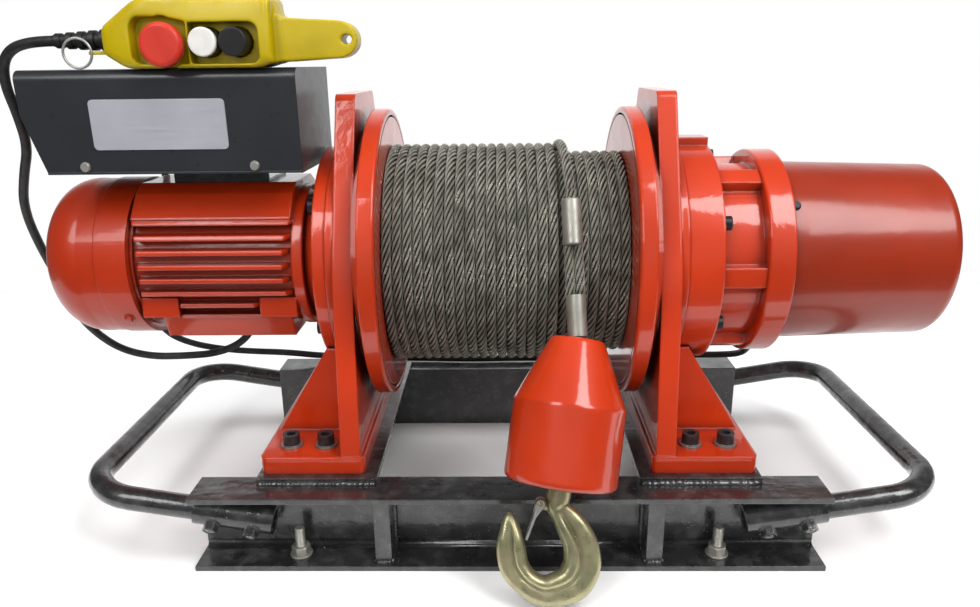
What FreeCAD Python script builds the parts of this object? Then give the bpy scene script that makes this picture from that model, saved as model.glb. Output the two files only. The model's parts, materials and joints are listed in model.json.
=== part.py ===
import FreeCAD
import Part
import math
import os

# Electric winch. A rope drum turns between two cast pillars on a base of two channel rails.
# A flange motor at the left drives a shaft through the drum to a two-stage planetary gearbox
# at the right, whose output carrier turns the drum. A spring brake sits in the end cover.
# +X runs along the drum axis from motor to gearbox, -Y is the front, +Z is up. The origin is
# on the floor, in the middle of the four anchor holes. Lengths are in millimetres.

V = FreeCAD.Vector
X_DIR = V(1, 0, 0)
Y_DIR = V(0, 1, 0)
Z_DIR = V(0, 0, 1)

# Fits
SEAT = 0.05
RUNNING = 0.04
FREE = 0.5
WELD_GAP = 0.1
SCREW_CLEARANCE = 0.3

# Base rails and cross plates
RAIL_LENGTH = 578.0
RAIL_HEIGHT = 75.0
RAIL_DEPTH = 40.0
RAIL_WALL = 5.0
RAIL_GAP = 264.0
ANCHOR_SPAN = 390.0
ANCHOR_HOLE_R = 5.5
STIFFENER_WIDTH = 15.0
STIFFENER_SETBACK = 6.0
STIFFENER_X = (-115.0, 134.0)
CROSS_INNER_X = 121.0
CROSS_WIDTH = 112.0
CROSS_THICKNESS = 6.0
CROSS_HALF_DEPTH = 146.0

# Drum and rope
AXIS_Z = 260.0
ROPE_R = 4.65
BARREL_R = 84.0
BARREL_WALL = 8.0
DRUM_FACE = 226.0
DRUM_FLANGE_R = 136.0
DRUM_FLANGE_T = 8.0
TURNS_PER_LAYER = 24
TOP_LAYER_TURNS = 17
ROPE_SIDE_GAP = 0.2
JOURNAL_R = 40.0
JOURNAL_BORE_R = 30.0

# Pillars
CUP_CLEARANCE = 2.0
CUP_WALL = 6.0
CUP_RIM = 15.0
CUP_NECK_R = 119.0
CUP_ROUND = 2.5
CUP_FLOOR_GAP = 4.0
CUP_FLOOR = 12.0
PLATE_T = 18.0
PLATE_TOP = 160.0
PLATE_TOP_HALF = 50.0
PLATE_TOP_ROUND = 9.0
PLATE_SHOULDER_HALF = 118.0
PLATE_SHOULDER_RISE = 8.0
PLATE_SHOULDER_ROUND = 120.0
PLATE_FOOT_HALF = 138.0
BOSS_R = 110.0
BOSS_T = 8.0
FOOT_T = 17.0
FOOT_HALF_DEPTH = 138.0
FOOT_INNER_X = 133.0
FOOT_OUTER_X = 230.0
FOOT_ROUND = 6.0
FOOT_WINDOW_HALF = 56.0
FOOT_WINDOW_MARGIN = 18.0
GUSSET_T = 14.0
GUSSET_FACE_Y = 80.0
GUSSET_TOP_Z = 216.0
GUSSET_TOE = 4.0
FOOT_SCREW_X = 190.0
FOOT_SCREW_PITCH = 33.0
FOOT_SCREW_Y = 112.0
SCREW_R = 5.0
SCREW_HEAD_R = 8.0
SCREW_HEAD_H = 10.0
SCREW_KEY_AF = 8.0
WASHER_R = 10.5
WASHER_T = 2.0
BEARING_R = 62.0
BEARING_W = 22.0
BEARING_SHOULDER = 10.0

# Handles
HANDLE_TUBE_R = 11.0
HANDLE_WALL = 2.0
HANDLE_BEND_R = 45.0
HANDLE_INNER_X = 217.0
HANDLE_OUTER_X = 396.0
HANDLE_INNER_Z = 42.0
HANDLE_SLOPE = 9.5
SOCKET_WALL = 3.0
SOCKET_LENGTH = 73.0
SET_SCREW_STEPS = (18.0, 55.0)
SET_SCREW_R = 4.0
SET_SCREW_LENGTH = 9.0
SET_SCREW_KEY_AF = 4.0
SET_SCREW_KEY_DEPTH = 4.0
SET_SCREW_TURN = 35.0
WELD_NUT_AF = 12.0
WELD_NUT_H = 6.5

# Motor
MOTOR_FLANGE_R = 108.0
MOTOR_FLANGE_T = 12.0
MOTOR_SCREW_EDGE = 24.0
MOTOR_SCREWS = 4
SHIELD_LENGTH = 18.0
SHIELD_R = 72.0
SHIELD_NECK_R = 63.0
FRAME_LENGTH = 164.0
FRAME_R = 68.0
FRAME_BORE_R = 62.0
FIN_R = 79.0
FIN_T = 4.5
FIN_PITCH = 13.3
FIN_COUNT = 8
FIN_TOP = 45.0
FIN_TAPER = 8.0
COLLAR_LENGTH = 10.0
REAR_COLLAR_LENGTH = 3.0
TOP_PAD_HALF_Y = 30.0
TOP_PAD_Z = 78.0
SADDLE_HALF_Y = (45.0, 64.0)
SADDLE_Z = (70.0, 48.0)
BELLY_HALF_X = 64.0
BELLY_HALF_Y = (48.0, 58.0)
BELLY_Z = (73.0, 48.0)
LUG_LENGTH = 36.0
LUG_HALF_Y = 66.0
LUG_Z = (48.0, 28.0)
REAR_SHIELD_T = 12.0
COWL_R = 78.5
COWL_LENGTH = 90.0
COWL_SHEET = 1.5
COWL_NOSE_R = 50.0
COWL_SHOULDER = 42.0
COWL_BEND_ALONG = 0.3
COWL_BEND_OUT = 0.72
GRILLE_SLOTS = 10
GRILLE_SLOT_W = 7.0
GRILLE_INNER_R = 14.0
GRILLE_OUTER_R = 43.0
STATOR_LENGTH = 100.0
AIR_GAP = 0.5
ROTOR_R = 40.0
WINDING_LENGTH = 16.0
WINDING_WALL = 12.0
WINDING_GAP = 2.0
END_RING_R = 36.0
FAN_R = 58.0
FAN_WIDTH = 24.0
FAN_HUB_R = 20.0
FAN_BLADES = 8
FAN_BLADE_T = 3.0
FAN_GAP = 12.0

# Drive shaft and its bearings
SHAFT_R = 12.0
SHAFT_STEM_R = 8.0
SHAFT_END_GAP = 18.0
SHAFT_BEARING_R = 22.0
SHAFT_BEARING_W = 12.0

# Planetary gearbox
MODULE = 2.5
SUN_TEETH = 12
PLANET_TEETH = 24
PLANETS = 3
PRESSURE_ANGLE = math.radians(20.0)
ADDENDUM = 0.8
DEDENDUM = 1.1
BACKLASH = 0.3
FIRST_FACE = 18.0
SECOND_FACE = 22.0
GEAR_AXIAL_GAP = 2.0
CARRIER_T = 8.0
CARRIER_R = 58.0
PIN_R = 7.0
CARRIER_HUB_R = 38.0
RING_WALL = 5.0
HOUSING_FLANGE_T = 32.0
HOUSING_BARREL_LENGTH = 41.0
HOUSING_WALL = 5.0
HOUSING_RIB_R = 98.0
HOUSING_RIB_W = 19.0
HOUSING_RIB_TURN = 2.0
HOUSING_LUG_R = 115.0
HOUSING_LUG_W = 30.0
HOUSING_RIBS = 6
HOUSING_RIM_R = 101.5
HOUSING_RIM_T = 24.0
HOUSING_END_WALL = 14.0
HOUSING_SCREW_R = 4.0
HOUSING_SCREW_HEAD_R = 6.5
HOUSING_SCREW_HEAD_H = 8.0
HOUSING_SCREW_KEY_AF = 6.0
HOUSING_SCREW_ROOM = 1.75
HOUSING_SCREW_EDGE = 12.0

# Brake and end cover
COVER_R = 89.0
COVER_END_R = 84.8
COVER_STRAIGHT = 16.0
COVER_LENGTH = 160.0
COVER_SHEET = 2.0
COVER_EDGE_R = 10.0
SPIGOT_LENGTH = 12.0
SPIGOT_WALL = 7.0
RIM_SCREWS = 3
RIM_SCREW_TURN = -40.0
RIM_SCREW_R = 2.5
RIM_SCREW_HEAD_R = 4.5
RIM_SCREW_HEAD_H = 3.0
BRAKE_R = 66.0
BRAKE_DISC_T = 8.0
BRAKE_GAP = 0.5
ARMATURE_T = 6.0
COIL_LENGTH = 40.0
COIL_BORE_R = 26.0
BRAKE_HUB_R = 18.0
STUD_R = 4.0
STUD_RING = 58.0
STUD_NUT_H = 6.0
STUD_NUT_AF = 13.0

# Control box
BOX_X = (-424.0, -180.0)
BOX_Y = (-90.0, 35.0)
BOX_Z = (356.5, 444.0)
BOX_CORNER = (16.0, 50.0)
BOX_SHEET = 1.5
BOX_EDGE_R = 9.0
TRAY_T = 2.0
TRAY_UPSTAND = 16.0
BOX_SCREW_X = (-373.0, -222.0)
BOX_SCREW_RISE = 4.8
BOX_SCREW_R = 2.0
BOX_SCREW_HEAD_R = 4.5
BOX_SCREW_HEAD_H = 2.5
PLATE_X = (-362.0, -243.0)
PLATE_Z = (376.0, 419.0)
NAME_PLATE_T = 1.0
NAME_PLATE_ROUND = 4.0
BRACKET_HALF_X = 46.0
BRACKET_HALF_Y = 30.0
BRACKET_SHEET = 3.0
CONTACTOR_X = (-380.0, -250.0)
CONTACTOR_SIZE = (62.0, 70.0, 58.0)

# Handset
HANDSET_Y = (-100.0, -44.0)
HANDSET_X = (-341.5, -126.0)
HANDSET_HEIGHT = 59.0
HANDSET_TAIL_RISE = (5.5, 39.0)
HANDSET_TAIL_X = -191.0
HANDSET_NECK_RISE = (12.0, 34.0)
HANDSET_SHOULDER_X = -280.0
HANDSET_CHIN_X = -322.0
HANDSET_HEEL_X = (-209.0, -197.0)
HANDSET_NECK_ROUND = (4.0, 8.0)
HANDSET_CHIN_ROUND = 20.0
HANDSET_SHOULDER_ROUND = 30.0
HANDSET_HEEL_ROUND = (10.0, 10.0)
HANDSET_WAIST_ROUND = (8.0, 6.0)
HANDSET_EDGE_R = 7.0
TAIL_THICKNESS = 30.0
TAIL_HOLE_R = 4.5
TAIL_EDGE_R = 4.0
TAIL_STEP = 4.0
POCKET_X = (-314.0, -206.0)
POCKET_RISE = (3.5, 36.5)
POCKET_DEPTH = 16.0
POCKET_ROUND = 8.0
DIVIDER_X = -265.4
DIVIDER_T = 1.6
STOP_X = -285.0
STOP_UP = 19.0
STOP_CAP_R = 18.0
STOP_STEM_R = 10.0
STOP_RISE = 14.0
STOP_CAP_T = 12.0
STOP_TRAVEL = 4.0
BUTTON_X = (-252.5, -227.0)
BUTTON_UP = 21.0
BUTTON_R = 11.8
BUTTON_RISE = 2.0
BUTTON_BORE_DEPTH = 14.0
BUTTON_TRAVEL = 3.5
BUTTON_CLEARANCE = 0.3
GLAND_LENGTH = 50.5
GLAND_ROOT_R = 9.5
GLAND_TIP_R = 6.0
GLAND_RIBS = 5
GLAND_CORE_R = (7.5, 5.0)
EAR_LENGTH = 15.0
EAR_T = 3.0
EAR_HOLE_R = 2.0
EAR_HALF = 4.0
EAR_Y = -87.0
SPLIT_RING_R = 12.3
SPLIT_RING_WIRE_R = 1.1

# Cables
PENDANT_R = 4.5
BRAKE_CABLE_R = 4.0
BEND_SHARE = 0.45
BOX_GLAND_X = (-390.0, -300.0)
BOX_GLAND_Z = 378.0
BOX_GLAND_R = 9.0
BOX_GLAND_NECK_R = 7.2
BOX_GLAND_LENGTH = 23.0
COVER_GLAND_X = 285.0
COVER_GLAND_ANGLE = 30.0

# Hook line, along its own axis from the point where it touches the drum
LINE_X = 58.5
LINE_LEAN = 23.0
LINE_SIDE_LEAN = -2.0
WEIGHT_SIDE_LEAN = 8.0
FERRULE_R = 8.8
FERRULE_UP = 28.0
FERRULE_DOWN = 14.0
LOOP_R = 4.4
LOOP_LENGTH = 44.0
LOWER_FERRULE_LENGTH = 38.0
LINE_GAP = 0.4
TAIL_GAP = 1.6
STUB_LENGTH = 8.0
STUB_BALL_R = 4.3
TAIL_START_ANGLE = 105.0
WEIGHT_TOP_R = 23.0
WEIGHT_R = 49.0
WEIGHT_CONE = 57.0
WEIGHT_BODY = 69.0
WEIGHT_TOP_ROUND = 5.0
WEIGHT_EDGE_ROUND = 6.0
SHANK_R = 10.0
SHANK_CLEARANCE = 0.3
SWIVEL_NUT_R = 18.0
SWIVEL_NUT_H = 14.0
SWIVEL_DEPTH = 40.0
SWIVEL_AXIAL_GAP = 0.5
HOOK_BOWL_DROP = 61.5
HOOK_BOWL_SHIFT = -5.0
HOOK_NECK_R = (11.2, 10.4)
HOOK_NECK_DROP = 17.0
HOOK_HALF_T = 9.5
HOOK_FLATNESS = 0.9
# Angle round the bowl, radius of the centre line there, half the width in the hook's plane
HOOK_STATIONS = (
    (78.0, 40.5, 9.9), (59.0, 34.5, 12.9), (32.5, 31.9, 14.7), (6.5, 31.9, 16.0), (-16.5, 32.1, 16.4),
    (-41.5, 31.0, 15.8), (-81.5, 28.7, 13.0), (-117.5, 26.5, 11.7), (-151.5, 27.1, 12.7),
    (-181.5, 28.9, 12.7), (-200.5, 32.7, 11.2), (-212.0, 38.4, 8.3), (-219.5, 44.4, 5.2), (-222.0, 47.4, 2.0),
)
LATCH_SHEET = 2.0
LATCH_CHEEK_GAP = 0.4
LATCH_PIN_R = 2.0
LATCH_PIVOT_X = -14.4
LATCH_PIVOT_DROP = 18.2
LATCH_EYE_R = 3.7
LATCH_LUG_R = 4.5
LATCH_LUG_HALF = 6.0
LATCH_PIN_END = 0.6
LATCH_TIP_HALF = 6.0
LATCH_TIP_X = -21.6
LATCH_TIP_DROP = 49.5

# Stations along the drum axis, worked out from the sizes above
DRUM_HALF = DRUM_FACE / 2
FLANGE_OUT = DRUM_HALF + DRUM_FLANGE_T
CUP_IN = DRUM_HALF
CUP_FLOOR_X = FLANGE_OUT + CUP_FLOOR_GAP
PLATE_IN = CUP_FLOOR_X + CUP_FLOOR
PLATE_OUT = PLATE_IN + PLATE_T
BOSS_OUT = PLATE_OUT + BOSS_T
CUP_R = DRUM_FLANGE_R + CUP_CLEARANCE
BEARING_IN = CUP_FLOOR_X + GEAR_AXIAL_GAP
JOURNAL_END = PLATE_OUT - GEAR_AXIAL_GAP
PLATE_OUT_BORE_R = BEARING_R - BEARING_SHOULDER

CROSS_TOP = RAIL_HEIGHT + CROSS_THICKNESS
FOOT_TOP = CROSS_TOP + FOOT_T
RAIL_BACK_Y = RAIL_GAP / 2
RAIL_TIP_Y = RAIL_BACK_Y + RAIL_DEPTH
ANCHOR_Y = RAIL_BACK_Y + RAIL_DEPTH / 2
HANDLE_Y = RAIL_BACK_Y + RAIL_WALL + WELD_GAP + HANDLE_TUBE_R + SEAT + SOCKET_WALL

MOTOR_FACE = -BOSS_OUT
SHIELD_IN = MOTOR_FACE - MOTOR_FLANGE_T
FRAME_RIGHT = SHIELD_IN - SHIELD_LENGTH
FRAME_LEFT = FRAME_RIGHT - FRAME_LENGTH
FRAME_MID = (FRAME_LEFT + FRAME_RIGHT) / 2
REAR_SHIELD_LEFT = FRAME_LEFT - REAR_SHIELD_T
COWL_END = FRAME_LEFT - COWL_LENGTH
FAN_RIGHT = REAR_SHIELD_LEFT - FAN_GAP
FAN_LEFT = FAN_RIGHT - FAN_WIDTH

HOUSING_IN = BOSS_OUT
BARREL_IN = HOUSING_IN + HOUSING_FLANGE_T
RIM_IN = BARREL_IN + HOUSING_BARREL_LENGTH
HOUSING_OUT = RIM_IN + HOUSING_RIM_T
END_WALL_IN = HOUSING_OUT - HOUSING_END_WALL
RING_TEETH = SUN_TEETH + 2 * PLANET_TEETH
RING_PITCH_R = MODULE * RING_TEETH / 2
RING_R = RING_PITCH_R + DEDENDUM * MODULE + RING_WALL
WINDOW_R = RING_R + HOUSING_WALL
HOUSING_SCREW_RING = WINDOW_R + HOUSING_SCREW_HEAD_R + HOUSING_SCREW_ROOM
HOUSING_FLANGE_R = HOUSING_SCREW_RING + HOUSING_SCREW_EDGE
GEAR_CENTRES = MODULE * (SUN_TEETH + PLANET_TEETH) / 2
FIRST_OUT = END_WALL_IN - GEAR_AXIAL_GAP
FIRST_IN = FIRST_OUT - FIRST_FACE
INPUT_CARRIER_OUT = FIRST_IN - GEAR_AXIAL_GAP
INPUT_CARRIER_IN = INPUT_CARRIER_OUT - CARRIER_T
SECOND_OUT = INPUT_CARRIER_IN - GEAR_AXIAL_GAP
SECOND_IN = SECOND_OUT - SECOND_FACE
OUTPUT_CARRIER_OUT = SECOND_IN - GEAR_AXIAL_GAP
OUTPUT_CARRIER_IN = OUTPUT_CARRIER_OUT - CARRIER_T

BRAKE_DISC_IN = HOUSING_OUT + BRAKE_GAP
ARMATURE_IN = BRAKE_DISC_IN + BRAKE_DISC_T + BRAKE_GAP
COIL_IN = ARMATURE_IN + ARMATURE_T + BRAKE_GAP
COIL_OUT = COIL_IN + COIL_LENGTH
COVER_OUT = HOUSING_OUT + COVER_LENGTH
SPIGOT_R = COVER_R - COVER_SHEET

HANDSET_BOTTOM_Z = BOX_Z[1]
HANDSET_TOP_Z = HANDSET_BOTTOM_Z + HANDSET_HEIGHT
HANDSET_TAIL_Z = tuple(HANDSET_BOTTOM_Z + rise for rise in HANDSET_TAIL_RISE)
HANDSET_NECK_Z = tuple(HANDSET_BOTTOM_Z + rise for rise in HANDSET_NECK_RISE)
POCKET_Z = tuple(HANDSET_BOTTOM_Z + rise for rise in POCKET_RISE)
STOP_Z = HANDSET_BOTTOM_Z + STOP_UP
BUTTON_Z = HANDSET_BOTTOM_Z + BUTTON_UP
POCKET_FLOOR_Y = HANDSET_Y[0] + POCKET_DEPTH
HANDSET_MID_Y = (HANDSET_Y[0] + HANDSET_Y[1]) / 2

ROPE_PITCH = (DRUM_FACE - 2 * ROPE_SIDE_GAP) / TURNS_PER_LAYER
ROPE_START = -DRUM_HALF + ROPE_SIDE_GAP
FIRST_LAYER_R = BARREL_R + SEAT + ROPE_R
LAYER_STEP = ROPE_R * math.sqrt(3)
SECOND_LAYER_R = FIRST_LAYER_R + LAYER_STEP
TOP_LAYER_R = SECOND_LAYER_R + LAYER_STEP
LINE_R = SECOND_LAYER_R + ROPE_R + LINE_GAP + FERRULE_R

PIVOT_UP = FERRULE_UP + STUB_LENGTH
LOOP_TOP = -FERRULE_DOWN
LOOP_BOTTOM = LOOP_TOP - LOOP_LENGTH
WEIGHT_TOP = LOOP_BOTTOM - LOWER_FERRULE_LENGTH
WEIGHT_SHOULDER = WEIGHT_TOP - WEIGHT_CONE
WEIGHT_BOTTOM = WEIGHT_SHOULDER - WEIGHT_BODY
SHANK_TOP = WEIGHT_BOTTOM + SWIVEL_DEPTH + SWIVEL_NUT_H

# Cable routes, points chosen by hand from exit to exit
PENDANT_ROUTE = [
    (-392, -72, 468), (-418, -72, 468), (-441, -68.5, 457), (-452, -58, 434), (-455, -42, 404), (-461, -26, 373),
    (-480, -10, 345), (-500, 10, 308), (-507, 38, 258), (-503, 62, 205), (-500, 76, 164), (-482, 106, 118),
    (-450, 124, 98), (-404, 128, 97), (-362, 127, 101), (-326, 122, 118), (-304, 121, 150), (-296, 124, 190),
    (-294, 130, 236), (-296, 136, 286), (-298, 138, 331), (-299, 121.4, 361), (-300, 92, 378), (-300, 58, 378),
]
BRAKE_ROUTE = [
    (-390, 58, 378), (-390, 88, 378), (-393, 116, 364), (-399, 132, 332), (-410, 136, 288),
    (-425, 135, 244), (-438, 132, 200), (-442, 134, 158), (-433, 142, 124), (-406, 151, 105), (-366, 156, 95),
    (-326, 158, 91), (-284, 157, 90), (-238, 159, 84), (-178, 161, 81), (-112, 160, 80),
    (-46, 156, 80), (22, 159, 80), (88, 157, 80), (150, 160, 80), (206, 158, 83),
    (244, 152, 86), (274, 136, 92), (287, 110, 104), (287, 86, 122), (285, 68.5, 141.4), (285, 55.6, 163.7),
]


def on_axis(x0, x1, radius):
    """A cylinder on the drum axis between two stations."""
    return Part.makeCylinder(radius, x1 - x0, V(x0, 0, AXIS_Z), X_DIR)


def ring(x0, x1, outer, inner):
    """A tube on the drum axis between two stations."""
    return on_axis(x0, x1, outer).cut(on_axis(x0 - 1, x1 + 1, inner))


def block(xs, ys, zs):
    """A box between pairs of coordinates."""
    return Part.makeBox(xs[1] - xs[0], ys[1] - ys[0], zs[1] - zs[0], V(xs[0], ys[0], zs[0]))


def face_of(points):
    """A flat face with straight sides."""
    return Part.Face(Part.makePolygon(points + points[:1]))


def rounded_wire(points, radii, closed):
    """Straight runs joined by tangent arcs of the given radii at the points."""
    count = len(points)
    ends = []
    for i, corner in enumerate(points):
        inner = closed or 0 < i < count - 1
        if not inner or radii[i] == 0:
            ends.append((corner, None, corner))
            continue
        back = (points[i - 1] - corner).normalize()
        ahead = (points[(i + 1) % count] - corner).normalize()
        half = back.getAngle(ahead) / 2
        middle = (back + ahead).normalize()
        reach = radii[i] / math.tan(half)
        top = corner + middle * (radii[i] / math.sin(half) - radii[i])
        ends.append((corner + back * reach, top, corner + ahead * reach))
    edges = []
    for i, (start, top, end) in enumerate(ends):
        if top is not None:
            edges.append(Part.Arc(start, top, end).toShape())
        if closed or i < count - 1:
            following = ends[(i + 1) % count][0]
            edges.append(Part.LineSegment(end, following).toShape())
    return Part.Wire(edges)


def turned(profile):
    """A solid turned about the drum axis from (station, radius) points."""
    face = face_of([V(x, 0, AXIS_Z + r) for x, r in profile])
    return face.revolve(V(0, 0, AXIS_Z), X_DIR, 360)


def lathe(profile):
    """A solid turned about the local Z axis from (radius, height) points."""
    face = face_of([V(r, 0, z) for r, z in profile])
    return face.revolve(V(0, 0, 0), Z_DIR, 360)


def hexagon(across_flats, height, base, direction):
    """A hexagonal prism standing on a base point."""
    corner_r = across_flats / math.sqrt(3)
    corners = []
    for k in range(6):
        turn = math.radians(60 * k)
        corners.append(V(corner_r * math.cos(turn), corner_r * math.sin(turn), 0))
    prism = face_of(corners).extrude(V(0, 0, height))
    prism.Placement = FreeCAD.Placement(base, FreeCAD.Rotation(Z_DIR, direction))
    return prism


def cap_screw(base, direction, shank_r, shank_length, head_r, head_h, key_af):
    """A socket head screw whose head sits on the base point, with its shank below it."""
    head = Part.makeCylinder(head_r, head_h, base, direction)
    shank = Part.makeCylinder(shank_r, shank_length, base - direction * shank_length, direction)
    key_depth = head_h / 2
    key = hexagon(key_af, key_depth, base + direction * (head_h - key_depth), direction)
    return head.fuse(shank).cut(key)


def around(shape, count, start=0.0):
    """Copies of a shape, evenly turned about the drum axis."""
    copies = []
    for k in range(count):
        copy = shape.copy()
        copy.rotate(V(0, 0, AXIS_Z), X_DIR, start + 360.0 * k / count)
        copies.append(copy)
    return copies


def mirrored_x(shape):
    return shape.mirror(V(0, 0, 0), X_DIR)


def mirrored_y(shape):
    return shape.mirror(V(0, 0, 0), Y_DIR)


def united(shapes):
    """One solid from several that meet."""
    whole = shapes[0].multiFuse(shapes[1:])
    return whole.removeSplitter()


def swept(wire, radius):
    """A round bar along a wire."""
    edge = wire.OrderedEdges[0]
    start = edge.valueAt(edge.FirstParameter)
    direction = edge.tangentAt(edge.FirstParameter)
    section = Part.Wire(Part.makeCircle(radius, start, direction))
    return wire.makePipeShell([section], True, True)


def rail():
    """The front channel, open to the front, with stiffeners and anchor holes."""
    half = RAIL_LENGTH / 2
    outer = block((-half, half), (-RAIL_TIP_Y, -RAIL_BACK_Y), (0, RAIL_HEIGHT))
    trough_y = (-RAIL_TIP_Y - 1, -RAIL_BACK_Y - RAIL_WALL)
    trough = block((-half - 1, half + 1), trough_y, (RAIL_WALL, RAIL_HEIGHT - RAIL_WALL))
    shape = outer.cut(trough)
    for x in STIFFENER_X:
        xs = (x - STIFFENER_WIDTH / 2, x + STIFFENER_WIDTH / 2)
        ys = (-RAIL_TIP_Y + STIFFENER_SETBACK, -RAIL_BACK_Y - RAIL_WALL)
        shape = shape.fuse(block(xs, ys, (RAIL_WALL, RAIL_HEIGHT - RAIL_WALL)))
    for x in (-ANCHOR_SPAN / 2, ANCHOR_SPAN / 2):
        hole = Part.makeCylinder(ANCHOR_HOLE_R, 2 * RAIL_WALL, V(x, -ANCHOR_Y, -RAIL_WALL / 2), Z_DIR)
        shape = shape.cut(hole)
    return shape.removeSplitter()


def foot_screw_points():
    """Where the foot screws of the right pillar stand, on top of the foot."""
    points = []
    for x in (FOOT_SCREW_X - FOOT_SCREW_PITCH / 2, FOOT_SCREW_X + FOOT_SCREW_PITCH / 2):
        for y in (-FOOT_SCREW_Y, FOOT_SCREW_Y):
            points.append(V(x, y, FOOT_TOP))
    return points


def cross_plate():
    """The plate welded across the rails under the right pillar."""
    xs = (CROSS_INNER_X, CROSS_INNER_X + CROSS_WIDTH)
    plate = block(xs, (-CROSS_HALF_DEPTH, CROSS_HALF_DEPTH), (RAIL_HEIGHT, CROSS_TOP))
    for point in foot_screw_points():
        base = V(point.x, point.y, RAIL_HEIGHT - 1)
        plate = plate.cut(Part.makeCylinder(SCREW_R + SEAT, CROSS_THICKNESS + 2, base, Z_DIR))
    return plate


def pillar_plate():
    """The upright of the right pillar, narrower towards its flat top."""
    outline = [
        V(PLATE_IN, -PLATE_FOOT_HALF, CROSS_TOP),
        V(PLATE_IN, -PLATE_SHOULDER_HALF, AXIS_Z + PLATE_SHOULDER_RISE),
        V(PLATE_IN, -PLATE_TOP_HALF, AXIS_Z + PLATE_TOP),
        V(PLATE_IN, PLATE_TOP_HALF, AXIS_Z + PLATE_TOP),
        V(PLATE_IN, PLATE_SHOULDER_HALF, AXIS_Z + PLATE_SHOULDER_RISE),
        V(PLATE_IN, PLATE_FOOT_HALF, CROSS_TOP),
    ]
    radii = [0, PLATE_SHOULDER_ROUND, PLATE_TOP_ROUND, PLATE_TOP_ROUND, PLATE_SHOULDER_ROUND, 0]
    return Part.Face(rounded_wire(outline, radii, True)).extrude(V(PLATE_T, 0, 0))


def pillar_foot():
    """The base of the right pillar with its two gussets."""
    depth = (-FOOT_HALF_DEPTH, FOOT_HALF_DEPTH)
    base = block((FOOT_INNER_X, FOOT_OUTER_X), depth, (CROSS_TOP, FOOT_TOP))
    corners = [e for e in base.Edges if abs(e.tangentAt(0).z) > 0.9]
    base = base.makeFillet(FOOT_ROUND, corners)
    window_x = (PLATE_OUT + FOOT_WINDOW_MARGIN, FOOT_OUTER_X - FOOT_WINDOW_MARGIN)
    window_y = (-FOOT_WINDOW_HALF, FOOT_WINDOW_HALF)
    base = base.cut(block(window_x, window_y, (CROSS_TOP - 1, FOOT_TOP + 1)))
    for y in (-GUSSET_FACE_Y, GUSSET_FACE_Y - GUSSET_T):
        rib = face_of([
            V(PLATE_OUT, y, FOOT_TOP),
            V(FOOT_OUTER_X - GUSSET_TOE, y, FOOT_TOP),
            V(PLATE_OUT, y, GUSSET_TOP_Z),
        ])
        base = base.fuse(rib.extrude(V(0, GUSSET_T, 0)))
    room = on_axis(BOSS_OUT, FOOT_OUTER_X, HOUSING_FLANGE_R + CUP_CLEARANCE)
    return base.cut(room)


def pillar():
    """The right pillar: upright, foot, cup round the drum flange, boss and bearing seat."""
    rim_r = CUP_R + CUP_WALL
    cup = turned([
        (CUP_IN, CUP_R), (CUP_IN, rim_r), (CUP_IN + CUP_RIM, rim_r), (PLATE_IN, CUP_NECK_R),
        (PLATE_IN, 0), (CUP_FLOOR_X, 0), (CUP_FLOOR_X, CUP_R),
    ])
    boss = on_axis(PLATE_OUT, BOSS_OUT, BOSS_R)
    shape = united([pillar_plate(), pillar_foot(), cup, boss])
    shape = shape.cut(on_axis(CUP_FLOOR_X - 1, BEARING_IN + BEARING_W, BEARING_R))
    shape = shape.cut(on_axis(CUP_FLOOR_X, BOSS_OUT + 1, PLATE_OUT_BORE_R))
    for point in foot_screw_points():
        base = V(point.x, point.y, CROSS_TOP - 1)
        shape = shape.cut(Part.makeCylinder(SCREW_R + FREE, FOOT_T + 2, base, Z_DIR))
    lip = [e for e in shape.Edges if is_ring_edge(e, CUP_IN, rim_r)]
    return shape.makeFillet(CUP_ROUND, lip)


def is_ring_edge(edge, station, radius):
    """True for a full circle on the drum axis at a station."""
    if not isinstance(edge.Curve, Part.Circle):
        return False
    centre = edge.Curve.Center
    return abs(centre.x - station) < 0.01 and abs(edge.Curve.Radius - radius) < 0.01


def foot_screws():
    """Socket screws and washers of the right foot."""
    pieces = []
    for point in foot_screw_points():
        disc = Part.makeCylinder(WASHER_R, WASHER_T, point, Z_DIR)
        pieces.append(disc.cut(Part.makeCylinder(SCREW_R + FREE / 2, WASHER_T, point, Z_DIR)))
        seat = point + Z_DIR * WASHER_T
        shank = WASHER_T + FOOT_T + CROSS_THICKNESS
        pieces.append(cap_screw(seat, Z_DIR, SCREW_R, shank, SCREW_HEAD_R, SCREW_HEAD_H, SCREW_KEY_AF))
    return pieces


def handle_frame(shape):
    """Tilts a shape laid out flat, so that the right handle rises outwards."""
    shape.rotate(V(HANDLE_INNER_X, 0, HANDLE_INNER_Z), Y_DIR, -HANDLE_SLOPE)
    return shape


def handle():
    """The right handle, one bent tube."""
    corners = [
        V(HANDLE_INNER_X, -HANDLE_Y, HANDLE_INNER_Z),
        V(HANDLE_OUTER_X, -HANDLE_Y, HANDLE_INNER_Z),
        V(HANDLE_OUTER_X, HANDLE_Y, HANDLE_INNER_Z),
        V(HANDLE_INNER_X, HANDLE_Y, HANDLE_INNER_Z),
    ]
    path = rounded_wire(corners, [0, HANDLE_BEND_R, HANDLE_BEND_R, 0], False)
    tube = swept(path, HANDLE_TUBE_R).cut(swept(path, HANDLE_TUBE_R - HANDLE_WALL))
    return handle_frame(tube)


def set_screw_direction():
    """From the front leg of a handle towards its set screws, forwards and down."""
    turn = math.radians(SET_SCREW_TURN)
    return V(0, -math.cos(turn), -math.sin(turn))


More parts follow.
